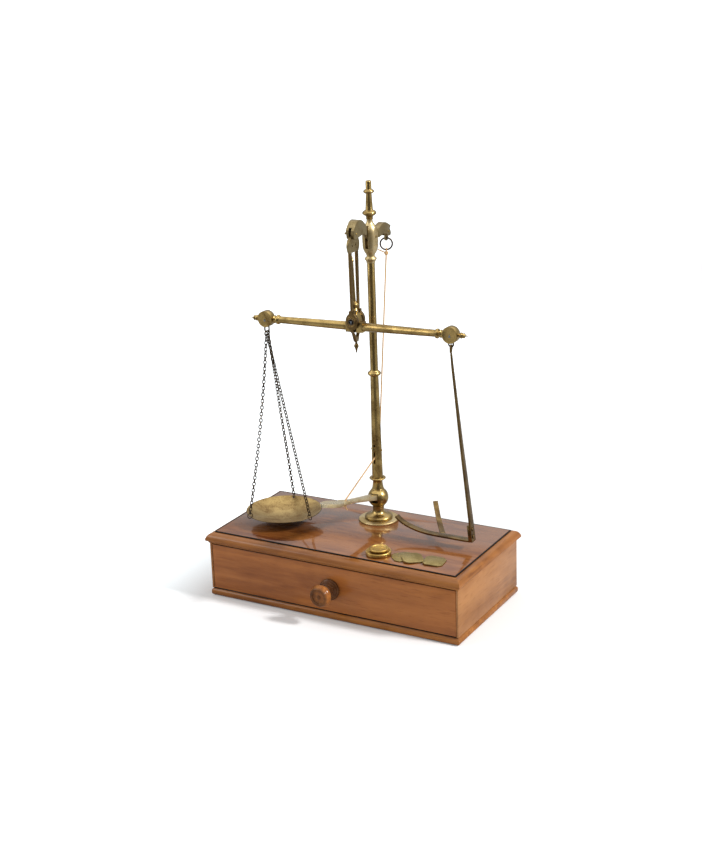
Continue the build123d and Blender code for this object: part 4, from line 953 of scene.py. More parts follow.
# ---------------------------------------------------------------- pillar
@dataclass
class Pillar:
    """Flange, turned foot with the slotted ball, column, tube, head, finial."""

    bench: Bench
    body: str = "stand"
    y: float = 38.2
    table: float = 74.4
    flange_top: float = 76.0
    flange_radius: float = 22.0
    foot_radius: float = 15.3
    foot_height: float = 13.0
    neck_low: float = 6.3
    neck_foot: float = 6.9
    neck_high: float = 5.3
    ball_z: float = 100.1
    ball_radius: float = 11.35
    collar_z: float = 121.4
    collar_radius: float = 8.7
    column_z: float = 123.6
    column_radius: float = 5.95
    column_top_radius: float = 4.45
    ring_z: float = 238.5
    ring_radius: float = 7.3
    tube_z: float = 244.5
    tube_radius: float = 4.22
    head_z: float = 362.0
    head_radius: float = 8.15
    head_length: float = 47.0
    head_flat: float = 6.9
    head_waist: float = 4.6
    slot_half: float = 1.8
    slot_edge: float = 0.16
    rocker_slot: tuple[float, float] = (16.0, 40.0)
    flats: tuple[float, float] = (19.0, 37.0)
    finial_shaft: float = 3.95
    finial_neck: float = 3.05
    finial_ring: float = 5.85
    finial_bead: float = 4.15
    finial_ring_rise: float = 5.8
    finial_bead_rise: float = 28.2
    lever_slot_half: float = 4.75
    lever_slot_below: float = 3.8
    lever_slot_height: float = 10.0
    lever_slot_back: float = 4.2
    pulley_z: float = 155.0
    pulley_slot_half: float = 1.2
    pulley_slot_reach: float = 12.0
    pulley_slot_below: float = 14.9
    pulley_slot_above: float = 6.7
    pulley_slot_edge: float = 0.12
    finial_z: float = 409.0
    finial_length: float = 39.5

    def build(self) -> None:
        """Make and dress the pillar."""
        self.bench.dress(self.body, "dark steel", Coat.STEEL, 0.1, "pillar_stud", "pillar_nut")
        self.flange()
        self.foot()
        self.column()
        self.head()
        self.finial()
        self.bench.dress(self.body, "brass", Coat.BRASS, 0.2, "lever_pin", "pulley_pin", "rocker_pin")

    def stand_up(self, name: str, outline: Outline, edge: float = 0.12) -> bpy.types.Object:
        """Turn a piece from its outline and stand it on the pillar's axis."""
        return put(turn_up(name, outline, 64, edge), upright(0, self.y))

    def flange(self) -> None:
        """The thin plate that the pillar stands on."""
        radius = self.flange_radius
        outline = [
            (0, self.table + 0.01), (radius, self.table + 0.01), (radius, self.table + 0.6),
            (radius - 1.0, self.flange_top - 0.01, 0.3), (0, self.flange_top - 0.01),
        ]
        plate = self.stand_up("flange_look", outline, 0.1)
        self.bench.fit(plate, "pale brass", Coat.BRASS, self.body, "flange_plate")

    def foot(self) -> None:
        """The moulded foot, its ball slotted for the lever, and the collar."""
        base = self.flange_top
        ball_low = self.ball_z - math.sqrt(self.ball_radius**2 - self.neck_low**2)
        ball_high = self.ball_z + math.sqrt(self.ball_radius**2 - self.neck_foot**2)
        outline = [
            (0, base), (self.foot_radius - 0.9, base), (self.foot_radius - 0.9, base + 3.4, 0.9),
            (self.foot_radius - 2.2, base + 4.4), (self.neck_low, base + self.foot_height, -3.1),
            (self.neck_low, ball_low),
        ]
        steps = 18
        start = math.atan2(ball_low - self.ball_z, self.neck_low)
        finish = math.atan2(ball_high - self.ball_z, self.neck_foot)
        for step in range(1, steps + 1):
            angle = start + (finish - start) * step / steps
            height = self.ball_z + self.ball_radius * math.sin(angle)
            outline.append((self.ball_radius * math.cos(angle), height))
        outline += [
            (self.neck_foot, ball_high + 0.9), (self.neck_foot - 0.35, ball_high + 1.1),
            (self.neck_high, self.collar_z - 2.6, -0.3),
            (self.collar_radius - 0.6, self.collar_z, -0.5),
            (self.collar_radius, self.collar_z + 0.6),
            (self.collar_radius, self.column_z - 0.6, 0.3),
            (self.collar_radius - 0.8, self.column_z), (0, self.column_z),
        ]
        foot = self.stand_up("pillar_foot_look", outline, 0)
        low, high = self.lever_slot()
        cut_out(foot, low, high)
        soften(foot, self.slot_edge, 2, SLOT_EDGE_ANGLE)
        self.bench.fit(foot, "brass", Coat.BRASS, self.body, "pillar_foot")

    def lever_slot(self) -> tuple[tuple, tuple]:
        """The slot that the lever moves in.

        Returns:
            Its lowest and highest corners in millimetres.
        """
        half = self.lever_slot_half
        bottom = self.ball_z - self.lever_slot_below
        low = (-half, self.y - self.ball_radius - 1, bottom)
        return low, (half, self.y + self.lever_slot_back, bottom + self.lever_slot_height)

    def column(self) -> None:
        """The tapering column with the pulley's slot, its ring and the tube."""
        outline = [
            (0, self.column_z), (self.column_radius, self.column_z),
            (self.column_top_radius, self.ring_z), (0, self.ring_z),
        ]
        column = self.stand_up("column_lower_look", outline, 0)
        half, reach = self.pulley_slot_half, self.pulley_slot_reach
        low = (-half, self.y - reach, self.pulley_z - self.pulley_slot_below)
        cut_out(column, low, (half, self.y + reach, self.pulley_z + self.pulley_slot_above))
        soften(column, self.pulley_slot_edge, 2, SLOT_EDGE_ANGLE)
        self.bench.fit(column, "brass", Coat.BRASS, self.body, "column_lower")
        upper = [
            (0, self.ring_z), (self.column_top_radius, self.ring_z),
            (self.ring_radius - 1.2, self.ring_z + 0.9, -0.3),
            (self.ring_radius - 1.0, self.ring_z + 1.2),
            (self.ring_radius - 1.0, self.ring_z + 4.8, 1.0),
            (self.ring_radius - 1.8, self.ring_z + 5.2),
            (self.tube_radius + 0.6, self.tube_z, -0.2), (self.tube_radius, self.tube_z + 0.4),
            (self.tube_radius, self.head_z), (0, self.head_z),
        ]
        tube = self.stand_up("column_upper_look", upper, 0.1)
        self.bench.fit(tube, "brass", Coat.BRASS, self.body, "column_upper")

    def head(self) -> None:
        """The vase-shaped head, slotted for the rocker."""
        base = self.head_z
        outline = [
            (0, base), (self.tube_radius + 0.5, base), (5.9, base + 3.2, -0.4),
            (6.1, base + 5.4, 0.4), (self.head_waist, base + 6.6),
            (self.head_waist, base + 9.0, -0.2), (self.head_radius, base + 20.5, 1.2),
            (self.head_radius, base + 32.5, 0.2), (3.8, base + 42.2, 1.0),
            (3.15, base + self.head_length - 1.0, -0.2), (4.4, base + self.head_length, -0.2),
            (0, base + self.head_length),
        ]
        head = self.stand_up("pillar_head_look", outline, 0)
        reach = 2 * self.head_radius
        slot = self.slot_half
        bottom, top = (base + rise for rise in self.rocker_slot)
        cut_out(head, (-slot, self.y - reach, bottom), (slot, self.y + reach, top))
        bottom, top = (base + rise for rise in self.flats)
        for side in (-1, 1):
            low, high = sorted((side * self.head_flat, side * reach))
            cut_out(head, (low, self.y - reach, bottom), (high, self.y + reach, top))
        soften(head, self.slot_edge, 2, SLOT_EDGE_ANGLE)
        self.bench.fit(head, "pale brass", Coat.BRASS, self.body, "pillar_head")

    def finial(self) -> None:
        """The baluster finial with its ring and bead."""
        base = self.finial_z
        ring = base + self.finial_ring_rise
        bead = base + self.finial_bead_rise
        top = base + self.finial_length
        shaft, neck = self.finial_shaft, self.finial_neck
        wide, small = self.finial_ring, self.finial_bead
        outline = [
            (0, base), (3.3, base), (3.6, base + 1.2, -0.1), (wide, ring - 2.3, -0.6),
            (wide, ring + 2.3, 1.6), (shaft, ring + 3.0), (neck, bead - 2.2), (small, bead - 1.9),
            (small, bead + 1.9, 1.6), (neck, bead + 2.4), (neck, top - 0.8), (neck - 0.9, top),
            (0, top),
        ]
        self.bench.fit(self.stand_up("finial_look", outline), "brass", Coat.BRASS, self.body, "finial")


# ---------------------------------------------------------------- lifting gear
@dataclass
class LiftingGear:
    """Finger lever, pulley, rocker and the tongue with its iron ring."""

    bench: Bench
    slope: float = 13.3
    hinge_y: float = 38.2
    hinge_z: float = 100.1
    leaf_start: float = 85.0
    leaf_length: float = 40.3
    leaf_drop: float = 3.0
    lift: float = 1.4

    def build(self) -> None:
        """Make and dress the moving pieces that lift the beam."""
        bench = self.bench
        lever = bench.copy("lever", 0.35, 3)
        self.level_leaf(lever)
        put(lever, self.raised())
        bench.fit(lever, "lever highlight brass", Coat.BRASS, "lever", "lever")
        bench.dress("rocker", "old brass", Coat.BRASS, 0.25, "rocker")
        bench.dress("rocker", "brass", Coat.BRASS, 0.25, "fork_pins")
        bench.dress("lift_link", "old brass", Coat.BRASS, 0.2, "tongue")
        bench.dress("lift_link", "iron", Coat.STEEL, 0, "iron_ring")
        bench.dress("pulley", "brass", Coat.BRASS, 0.1, "pulley")

    def raised(self) -> Matrix:
        """The lever's small lift about its hinge."""
        hinge = Matrix.Translation((0, self.hinge_y * MM, self.hinge_z * MM))
        return hinge @ Matrix.Rotation(math.radians(-self.lift), 4, "X") @ hinge.inverted()

    def level_leaf(self, lever: bpy.types.Object) -> None:
        """Take the upward curl out of the lever's leaf.

        Args:
            lever: the lever's mesh, which is changed.
        """
        slope = math.radians(self.slope)
        forward = Vector((0, -math.cos(slope), math.sin(slope)))
        up = Vector((0, math.sin(slope), math.cos(slope)))
        hinge = Vector((0, self.hinge_y, self.hinge_z)) * MM
        for vertex in lever.data.vertices:
            share = ((vertex.co - hinge).dot(forward) / MM - self.leaf_start) / self.leaf_length
            if share > 0:
                vertex.co -= up * (share**1.5 * self.leaf_drop * MM)
        lever.data.update()


@dataclass
class Shears:
    """The shears that carry the beam."""

    bench: Bench
    body: str = "shears"

    def build(self) -> None:
        """Make and dress the shears."""
        dress = self.bench.dress
        dress(self.body, "old brass", Coat.BRASS, 0.25, "shears_shield")
        dress(self.body, "dark brass", Coat.BRASS, 0.2, "shears_leg_front", "shears_leg_back")
        dress(self.body, "dark steel", Coat.STEEL, 0.1, "shears_bearings")
        dress(self.body, "dark brass", Coat.BRASS, 0.25, "shears_stirrup")


# ---------------------------------------------------------------- beam
@dataclass
class Beam:
    """Turned beam with its block, knives, box ends and pointer."""

    bench: Bench
    body: str = "beam"
    hang_y: float = 1.7
    knife_z: float = 306.5
    axis_z: float = 302.1
    tilt: float = -1.25
    middle_radius: float = 4.6
    end_radius: float = 3.75
    block_left: float = 10.0
    ring_x: float = 95.0
    ring_radius: float = 5.2
    box_x: float = 110.0
    box_radius: float = 8.75
    end_x: float = 129.3
    pointer_top: float = 70.4

    def leaning(self) -> Matrix:
        """The beam's rest lean about its central knife."""
        pivot = Matrix.Translation((0, self.hang_y * MM, self.knife_z * MM))
        return pivot @ Matrix.Rotation(math.radians(self.tilt), 4, "Y") @ pivot.inverted()

    def lay(self, piece: bpy.types.Object, side: int) -> bpy.types.Object:
        """Lay a turned piece along the beam.

        Args:
            piece: the piece, turned about the Z axis.
            side: 1 for the right, -1 for the left.

        Returns:
            The piece.
        """
        along = Matrix.Rotation(math.radians(90 * side), 4, "Y")
        axis = Matrix.Translation((0, self.hang_y * MM, self.axis_z * MM))
        return put(piece, self.leaning() @ axis @ along)

    def build(self) -> None:
        """Make and dress the beam."""
        dress = self.bench.dress
        dress(self.body, "brass", Coat.BRASS, 0.3, "beam_block")
        dress(self.body, "knife steel", Coat.STEEL, 0.05, "beam_knives")
        dress(self.body, "brass", Coat.BRASS, 0.2, "end_box_left", "end_box_right")
        self.arms()
        self.finials()
        self.pointer()

    def arms(self) -> None:
        """The two tapering arms with their rings."""
        bar_end = self.box_x - self.box_radius + 0.6
        ring = self.ring_x
        outline = [
            (0, self.block_left), (self.middle_radius, self.block_left),
            (self.end_radius, ring - 2.2), (self.ring_radius - 0.6, ring - 1.6),
            (self.ring_radius - 0.6, ring + 1.4, 0.6), (3.0, ring + 2.0), (4.4, ring + 4.2, -0.5),
            (2.8, bar_end, -0.4), (0, bar_end),
        ]
        arms = [self.lay(turn_up("beam_arm", outline, 48, 0.1), side) for side in (1, -1)]
        self.bench.fit(join("beam_arms_look", arms), "brass", Coat.BRASS, self.body, "beam_arms")

    def finials(self) -> None:
        """The small turned tips beyond the box ends."""
        root = self.box_x + self.box_radius
        outline = [
            (0, root - 0.6), (2.2, root - 0.6), (1.8, root + 1.0, -0.3), (1.8, root + 5.0, 1.4),
            (2.4, root + 5.4), (2.4, root + 6.6, 0.3), (0.9, root + 7.2), (0.3, self.end_x),
            (0, self.end_x),
        ]
        tips = [self.lay(turn_up("end_finial", outline, 40, 0.08), side) for side in (1, -1)]
        self.bench.fit(join("end_finials_look", tips), "brass", Coat.BRASS, self.body, "end_finials")

    def pointer(self) -> None:
        """The turned pointer over the middle of the beam."""
        foot = self.knife_z + 10.0
        top = self.knife_z + self.pointer_top
        outline = [
            (0, foot), (3.3, foot), (3.4, foot + 3.4, 0.3), (2.2, foot + 6.2, -0.3),
            (3.0, foot + 7.0), (3.0, foot + 10.8, 1.0), (1.7, foot + 12.4), (1.45, foot + 15.0),
            (1.1, top - 7.0), (1.1, top - 4.0, 0.5), (0.9, top - 3.6), (0.2, top), (0, top),
        ]
        pointer = put(turn_up("pointer_look", outline, 40, 0.06), upright(0, self.hang_y))
        put(pointer, self.leaning())
        self.bench.fit(pointer, "brass", Coat.BRASS, self.body, "pointer")


# ---------------------------------------------------------------- suspensions
@dataclass
class PanSuspension:
    """Links, three chains and the brass pan."""

    bench: Bench
    body: str = "left_suspension"
    wire: float = 0.55
    slack_chain: str = "chain_front"
    slack: float = 3.0
    link_width: float = 4.1
    pan_x: float = -92.6
    pan_y: float = -9.2
    pan_radius: float = 41.5
    pan_depth: float = 10.0
    pan_wall: float = 0.9
    rim_z: float = 87.4
    rim_wall: float = 1.1
    pan_steps: int = 22
    link_facets: tuple[int, int] = (14, 6)
    lip: float = 0.6
    hole_inset: float = 2.9
    hole_radius: float = 1.4
    hole_angles: tuple[float, ...] = (236.0, -15.0, 106.0)

    def build(self) -> None:
        """Make and dress the pan's suspension."""
        self.bench.dress(self.body, "chain steel", Coat.STEEL, 0, "left_links", "pan_rings")
        for node in ("chain_front", "chain_right", "chain_back"):
            self.chain(node)
        self.pan()

    def chain(self, node: str) -> None:
        """Put a round-wired link where each of a chain's links stands.

        Args:
            node: the chain's node.
        """
        links = [self.link(body) for body in split(copy_node(self.bench.frame, node, node + "_marks"))]
        if node == self.slack_chain:
            heights = [vertex.co.z for link in links for vertex in link.data.vertices]
            low, high = min(heights), max(heights)
            for link in links:
                middle = sum((vertex.co.z for vertex in link.data.vertices)) / len(link.data.vertices)
                part = (middle - low) / (high - low)
                put(link, Matrix.Translation((self.slack * MM * 4 * part * (1 - part), 0, 0)))
        self.bench.fit(join(node + "_look", links), "chain steel", Coat.STEEL, self.body, node)

    def link(self, mark: bpy.types.Object) -> bpy.types.Object:
        """Bend one link to a mark's length, width and lie.

        Args:
            mark: the plain link it takes the place of, which is dropped.

        Returns:
            The link.
        """
        points = np.array([tuple(vertex.co) for vertex in mark.data.vertices])
        bpy.data.objects.remove(mark, do_unlink=True)
        centre = points.mean(axis=0)
        spread = np.linalg.svd(points - centre, full_matrices=False)[2]
        along = Vector(spread[0]).normalized()
        normal = Vector(spread[2]).normalized()
        across = normal.cross(along)
        half_length = float(np.abs((points - centre) @ np.array(along)).max()) / MM
        bend = self.link_width / 2 - self.wire
        shift = (half_length - self.wire - bend) * MM
        deselect()
        bpy.ops.mesh.primitive_torus_add(
            major_segments=self.link_facets[0],
            minor_segments=self.link_facets[1],
            major_radius=bend * MM,
            minor_radius=self.wire * MM,
        )
        link = bpy.context.object
        for vertex in link.data.vertices:
            vertex.co.x += shift if vertex.co.x > 0 else -shift
        turn = Matrix((along, across, normal)).transposed().to_4x4()
        put(link, Matrix.Translation(centre) @ turn)
        return soften(link, 0)

    def pan(self) -> None:
        """Raise the pan's bowl from a disc and drill its three holes."""
        depth = self.pan_depth
        sphere = (self.pan_radius**2 + depth**2) / (2 * depth)
        centre_z = self.rim_z - depth + sphere
        steps = self.pan_steps
        outline = []
        for step in range(steps + 1):
            reach = self.pan_radius * step / steps
            outline.append((reach, centre_z - math.sqrt(sphere**2 - reach**2)))
        outline += [
            (self.pan_radius + 0.15, self.rim_z + 0.25),
            (self.pan_radius - 0.1, self.rim_z + self.lip - 0.05),
            (self.pan_radius - 0.7, self.rim_z + self.lip),
        ]
        inner = sphere - self.pan_wall
        rim = self.pan_radius - self.rim_wall
        for step in range(steps, -1, -1):
            reach = rim * step / steps
            outline.append((reach, centre_z - math.sqrt(inner**2 - reach**2)))
        pan = turn_up("brass_pan_look", outline, 96, 0)
        put(pan, upright(self.pan_x, self.pan_y))
        for angle in self.hole_angles:
            way = math.radians(angle)
            reach = self.pan_radius - self.hole_inset
            x = self.pan_x + reach * math.cos(way)
            y = self.pan_y + reach * math.sin(way)
            drill = rod_between("drill", (x, y, self.rim_z - 6), (x, y, self.rim_z + 6), self.hole_radius)
            carve(pan, drill)
        soften(pan, 0.08, 1, 50)
        self.bench.fit(pan, "pan brass", Coat.BRASS, self.body, "brass_pan")


@dataclass
class CradleSuspension:
    """Link, hooked hanger strip and the riveted cradle."""

    bench: Bench
    body: str = "right_suspension"
    root_y: float = 1.7
    prong_length: float = 48.8
    root_slide: float = 5.0
    strip_stretch: float = 1.045

    def build(self) -> None:
        """Make and dress the cradle's suspension."""
        bench = self.bench
        bench.dress(self.body, "chain steel", Coat.STEEL, 0, "right_link")
        bench.dress(self.body, "dark brass", Coat.BRASS, 0.2, "hanger_strip", "hanger_rivets")
        bench.fit(self.strip(), "dark brass", Coat.BRASS, self.body, "cradle_strip")
        bench.fit(self.prong(), "dark brass", Coat.BRASS, self.body, "back_prong")

    def strip(self) -> bpy.types.Object:
        """The cradle strip, drawn out a little toward the pillar.

        Returns:
            The strip.
        """
        strip = self.bench.copy("cradle_strip", 0.2)
        right = max(vertex.co.x for vertex in strip.data.vertices)
        for vertex in strip.data.vertices:
            vertex.co.x = right + (vertex.co.x - right) * self.strip_stretch
        strip.data.update()
        return strip

    def prong(self) -> bpy.types.Object:
        """The back prong, its root slid along the cradle to the right.

        Returns:
            The prong.
        """
        prong = self.bench.copy("back_prong", 0.2)
        for vertex in prong.data.vertices:
            share = 1 - (vertex.co.y / MM - self.root_y) / self.prong_length
            vertex.co.x += self.root_slide * min(max(share, 0), 1) * MM
        prong.data.update()
        return prong


# ---------------------------------------------------------------- weights
@dataclass
class Weights:
    """The loose weights on the table."""

    bench: Bench

    def build(self) -> None:
        """Make and dress the weights."""
        for size in ("large", "small"):
            self.bench.dress(f"disc_weight_{size}", "disc brass", Coat.WEIGHT, 0.2, f"weight_disc_{size}")
        for number in (1, 2, 3):
            node = f"weight_plate_{number}"
            self.bench.dress(f"plate_weight_{number}", "plate brass", Coat.WEIGHT, 0.1, node)


# ---------------------------------------------------------------- cords
@dataclass
class Cords:
    """The lifting cord: rear run, front run and its knots."""

    bench: Bench
    radius: float = 0.75
    y: float = 38.2
    pulley_z: float = 155.0
    groove: float = 4.6
    seat: float = 0.4
    end_gap: float = 0.3
    hole_along: float = 74.0
    slope: float = 14.7
    ball_z: float = 100.1
    pad: float = 3.6
    bend: float = 3.0
    rear_pin_y: float = 73.0
    rear_pin_z: float = 388.9
    tongue_drop: float = 7.2
    ring_radius: float = 6.4
    knot_drop: float = 6.0
    knot_lean: float = 1.0
    hole_clear: float = 0.5
    wrap_steps: int = 4

    def rear_top(self) -> Vector:
        """Underside of the knot on the iron ring."""
        drop = self.tongue_drop + 2 * self.ring_radius + self.knot_drop
        return Vector((0, self.rear_pin_y - self.knot_lean, self.rear_pin_z - drop))

    def hole(self) -> Vector:
        """Where the front run goes into the lever."""
        return self.on_lever(self.hole_along, self.pad / 2 + self.hole_clear)

    def on_lever(self, along: float, rise: float) -> Vector:
        """A point of the lever.

        Args:
            along: its distance from the hinge in millimetres.
            rise: its height over the lever's middle.

        Returns:
            The point in millimetres.
        """
        slope = math.radians(self.slope)
        y = self.y - along * math.cos(slope) + rise * math.sin(slope)
        return Vector((0, y, self.ball_z + along * math.sin(slope) + rise * math.cos(slope)))

    def wrap(self) -> tuple[Vector, list[Vector]]:
        """The cord's way round the pulley.

        Returns:
            Where the rear run meets the pulley, and the points round it.
        """
        radius = self.groove + self.seat + self.radius
        top = self.rear_top()
        rise = math.atan2(top.y - self.y - radius, top.z - self.pulley_z)
        meet = Vector((0, self.y + radius * math.cos(rise), self.pulley_z - radius * math.sin(rise)))
        hole = self.hole()
        drop = math.atan2(self.pulley_z - radius - hole.z, self.y - hole.y)
        leave = Vector((0, self.y + radius * math.sin(drop), self.pulley_z - radius * math.cos(drop)))
        start = math.atan2(meet.z - self.pulley_z, meet.y - self.y)
        finish = math.atan2(leave.z - self.pulley_z, leave.y - self.y)
        points = []
        for step in range(self.wrap_steps + 1):
            angle = start + (finish - start) * step / self.wrap_steps
            y = self.y + radius * math.cos(angle)
            points.append(Vector((0, y, self.pulley_z + radius * math.sin(angle))))
        return meet, points

    def curve(self, name: str, points: Sequence[Vector], bevel: float) -> bpy.types.Object:
        """A curve along control points in millimetres.

        Args:
            name: the curve's name.
            points: its control points.
            bevel: its radius in millimetres, 0 for a bare line.

        Returns:
            The curve object.
        """
        data = bpy.data.curves.new(name, "CURVE")
        data.dimensions = "3D"
        data.resolution_u = 12
        data.render_resolution_u = 12
        data.bevel_depth = bevel * MM
        data.bevel_resolution = 4
        data.use_fill_caps = bevel > 0
        spline = data.splines.new("NURBS")
        spline.points.add(len(points) - 1)
        for spot, point in zip(spline.points, points):
            spot.co = (*(point * MM), 1.0)
        spline.order_u = 3
        spline.use_endpoint_u = True
        curve = bpy.data.objects.new(name, data)
        bpy.context.scene.collection.objects.link(curve)
        return curve

    def line_of(self, curve: bpy.types.Object) -> list[Vector]:
        """Points along a bare curve.

        Args:
            curve: the curve object.

        Returns:
            The points in metres.
        """
        mesh = bpy.data.meshes.new_from_object(curve)
        line = [vertex.co.copy() for vertex in mesh.vertices]
        bpy.data.meshes.remove(mesh)
        return line

    def build(self) -> None:
        """Make and dress the cord's two runs and its knots."""
        bench = self.bench
        meet, arc = self.wrap()
        top = self.rear_top()
        foot = meet + (top - meet).normalized() * self.end_gap
        rear = self.curve("lift_cord_rear_look", [top, (top + foot) / 2, foot], self.radius)
        rear.data.materials.append(bench.finishes["twine"])
        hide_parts("lift_cord_rear")
        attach(rear, "lift_link")
        length = (top - foot).length * MM
        LOG.info("rear cord: %.1f mm", length / MM)

        hole = self.hole()
        below = self.on_lever(self.hole_along, -self.pad / 2)
        run = (hole - arc[-1]).normalized() * self.bend
        route = arc + [arc[-1] + run, hole - run, hole, below]
        bare = self.curve("front_line", route, 0)
        line = self.line_of(bare)
        bpy.data.objects.remove(bare, do_unlink=True)
        front = self.curve("lift_cord_front_look", route, self.radius)
        take(front)
        bpy.ops.object.convert(target="MESH")
        front = bpy.context.object
        front.data.materials.clear()
        front.data.materials.append(bench.finishes["twine"])
        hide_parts("lift_cord_front")
        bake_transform(front)
        length = sum((b - a).length for a, b in zip(line, line[1:]))
        LOG.info("front cord: %.1f mm", length / MM)
        bench.dress("lift_link", "twine", Coat.TWINE, 0, "cord_knot")
        knot = put(bench.copy("lever_knot", 0), LiftingGear(bench).raised())
        bench.fit(knot, "twine", Coat.TWINE, "lever", "lever_knot")


# ---------------------------------------------------------------- studio
@dataclass
class Studio:
    """White floor, soft light and the camera."""

    azimuth: float = 29.5
    elevation: float = 17.8
    roll: float = -1.88
    stand_at: tuple[float, float, float] = (804.9, -1401.8, 728.6)
    lens: float = 68.1
    shift: tuple[float, float] = (-0.0195, -0.0163)
    sky: float = 0.54
    key: float = 2.5
    key_toward: tuple[float, float, float] = (-0.79, -0.08, -0.61)
    key_angle: float = 7.0
    paper_edge: float = 0.45
    gloss_sky: float = 0.5
    gloss_ceiling: float = 1.6
    gloss_room: float = 0.1
    gloss_floor: float = 0.5
    painted_light_left: float = 0.45
    painted_light_edge: tuple[float, float] = (-0.158, -0.22)
    sweep: float = 60.0
    floor_drop: float = -0.0001
    floor_tint: tuple[float, float, float, float] = (0.85, 0.95, 1, 1)
    glow: float = 0.06
    paper_blur: float = 0.1
    white: float = 0.9
    ceiling_edge: tuple[float, float] = (0.4, 0.7)
    room_edge: tuple[float, float] = (0.74, 0.9)
    fill: float = 0.3
    aim: tuple[float, float, float] = (0, 0, 0.22)

    def build(self) -> None:
        """Set up the studio."""
        self.camera()
        self.floor()
        self.world()
        self.lamps()
        bpy.context.scene.view_settings.view_transform = "Standard"

    def camera(self) -> None:
        """Stand the camera in its place."""
        az = math.radians(self.azimuth)
        el = math.radians(self.elevation)
        roll = math.radians(self.roll)
        back = Vector((math.sin(az) * math.cos(el), -math.cos(az) * math.cos(el), math.sin(el)))
        right = (-back).cross(Vector((0, 0, 1))).normalized()
        up = right.cross(-back)
        across = math.cos(roll) * right + math.sin(roll) * up
        above = -math.sin(roll) * right + math.cos(roll) * up
        data = bpy.data.cameras.new("camera")
        data.lens = self.lens
        data.sensor_width = 36
        data.shift_x, data.shift_y = self.shift
        data.clip_end = 200
        camera = bpy.data.objects.new("camera", data)
        turn = Matrix((across, above, back)).transposed().to_4x4()
        camera.matrix_world = Matrix.Translation(Vector(self.stand_at) * MM) @ turn
        bpy.context.scene.collection.objects.link(camera)
        bpy.context.scene.camera = camera

    def floor(self) -> None:
        """A white sweep that keeps the shadow, save left of the box, where painted light lifts it."""
        deselect()
        place = (0, 0, self.floor_drop)
        bpy.ops.mesh.primitive_circle_add(vertices=64, radius=self.sweep, fill_type="NGON", location=place)
        floor = bpy.context.object
        floor.name = "floor"
        material = bpy.data.materials.new("white floor")
        material.use_nodes = True
        tree = material.node_tree
        shader = tree.nodes["Principled BSDF"]
        shader.inputs["Roughness"].default_value = 0.9
        shader.inputs["Specular IOR Level"].default_value = 0.0
        path = tree.nodes.new("ShaderNodeLightPath")
        camera = Sock(tree, path.outputs["Is Camera Ray"])
        glossy = Sock(tree, path.outputs["Is Glossy Ray"])
        place = tree.nodes.new("ShaderNodeTexCoord").outputs["Object"]
        ahead = self.ahead(tree, place).ramp(self.paper_edge, self.paper_edge + self.paper_blur)
        beyond = ahead * self.sector(tree, place)
        mirrored = self.white - self.gloss_floor + beyond * (self.gloss_floor - self.gloss_room)
        white = self.white - glossy * mirrored
        tree.links.new(white.out, shader.inputs["Base Color"])
        shader.inputs["Emission Color"].default_value = self.floor_tint
        parts = tree.nodes.new("ShaderNodeSeparateXYZ")
        tree.links.new(place, parts.inputs[0])
        # painted light: the floor left of the box glows brighter for camera rays, lifting the box's shadow
        # there
        left = Sock(tree, parts.outputs["X"]).ramp(*self.painted_light_edge)
        glow = camera * (left * self.painted_light_left + self.glow)
        tree.links.new(glow.out, shader.inputs["Emission Strength"])
        floor.data.materials.append(material)
        floor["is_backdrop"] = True

    def ahead(self, tree: bpy.types.NodeTree, vector: bpy.types.NodeSocket) -> Sock:
        """How far a vector reaches over the floor toward the camera.

        Args:
            tree: the node tree.
            vector: the vector's socket.

        Returns:
            The reach.
        """
        az = math.radians(self.azimuth)
        node = tree.nodes.new("ShaderNodeVectorMath")
        node.operation = "DOT_PRODUCT"
        tree.links.new(vector, node.inputs[0])
        node.inputs[1].default_value = (math.sin(az), -math.cos(az), 0)
        return Sock(tree, node.outputs["Value"])

    def sector(self, tree: bpy.types.NodeTree, vector: bpy.types.NodeSocket) -> Sock:
        """How much a vector points to the dark room behind the camera.

        Args:
            tree: the node tree.
            vector: the vector's socket.

        Returns:
            From 0 to 1.
        """
        flat = tree.nodes.new("ShaderNodeVectorMath")
        flat.operation = "MULTIPLY"
        tree.links.new(vector, flat.inputs[0])
        flat.inputs[1].default_value = (1, 1, 0)
        unit = tree.nodes.new("ShaderNodeVectorMath")
        unit.operation = "NORMALIZE"
        tree.links.new(flat.outputs[0], unit.inputs[0])
        return self.ahead(tree, unit.outputs[0]).ramp(*self.room_edge)

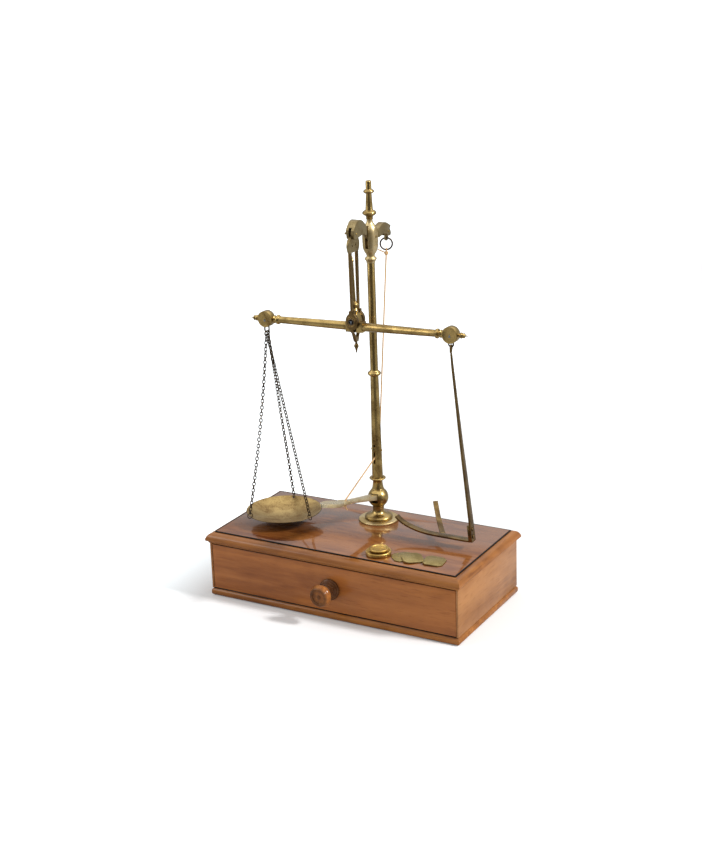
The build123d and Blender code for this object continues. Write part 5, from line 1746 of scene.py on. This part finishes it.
    def world(self) -> None:
        """White behind the floor; polished metal sees a ceiling and a dark room."""
        world = bpy.data.worlds.new("studio")
        bpy.context.scene.world = world
        world.use_nodes = True
        tree = world.node_tree
        background = tree.nodes["Background"]
        path = tree.nodes.new("ShaderNodeLightPath")
        seen = Sock(tree, path.outputs["Is Camera Ray"])
        glossy = Sock(tree, path.outputs["Is Glossy Ray"])
        place = tree.nodes.new("ShaderNodeTexCoord").outputs["Generated"]
        parts = tree.nodes.new("ShaderNodeSeparateXYZ")
        tree.links.new(place, parts.inputs[0])
        high = Sock(tree, parts.outputs["Z"]).ramp(*self.ceiling_edge)
        mirrored = high * (self.gloss_ceiling - self.gloss_sky) + self.gloss_sky
        room = self.sector(tree, place) * (1.0 - high)
        mirrored = mirrored - room * (self.gloss_sky - self.gloss_room)
        strength = seen * (1.0 - self.sky) + glossy * (mirrored - self.sky) + self.sky
        tree.links.new(strength.out, background.inputs["Strength"])
        background.inputs["Color"].default_value = (1, 1, 1, 1)

    def lamps(self) -> None:
        """A soft sun from the right and a softbox on each side."""
        sun = bpy.data.lights.new("key", "SUN")
        sun.energy = self.key
        sun.angle = math.radians(self.key_angle)
        key = bpy.data.objects.new("key", sun)
        toward = Vector(self.key_toward)
        key.rotation_euler = toward.to_track_quat("-Z", "Y").to_euler()
        bpy.context.scene.collection.objects.link(key)
        self.softbox("left box", (-1.3, -0.9, 0.9), 0.9, 8)
        self.softbox("right box", (1.5, 0.3, 1.0), 0.8, 8)

    def softbox(self, name: str, place: Sequence[float], size: float, power: float) -> None:
        """A square lamp aimed at the object.

        Args:
            name: the lamp's name.
            place: where it stands, in metres.
            size: the length of its side in metres.
            power: its power in watts.
        """
        light = bpy.data.lights.new(name, "AREA")
        light.energy = power
        light.size = size
        light.diffuse_factor = self.fill
        lamp = bpy.data.objects.new(name, light)
        lamp.location = place
        toward = Vector(self.aim) - Vector(place)
        lamp.rotation_euler = toward.to_track_quat("-Z", "Y").to_euler()
        bpy.context.scene.collection.objects.link(lamp)


def main() -> None:
    """Build the object and its studio."""
    logging.basicConfig(level=logging.INFO, format="%(name)s %(message)s")
    bench = Bench()
    for part in (DrawerBox, Drawer, Pillar, LiftingGear, Shears, Beam, PanSuspension, CradleSuspension):
        part(bench).build()
    Weights(bench).build()
    Cords(bench).build()
    Studio().build()
    bpy.context.view_layer.update()


if __name__ == "__main__":
    main()
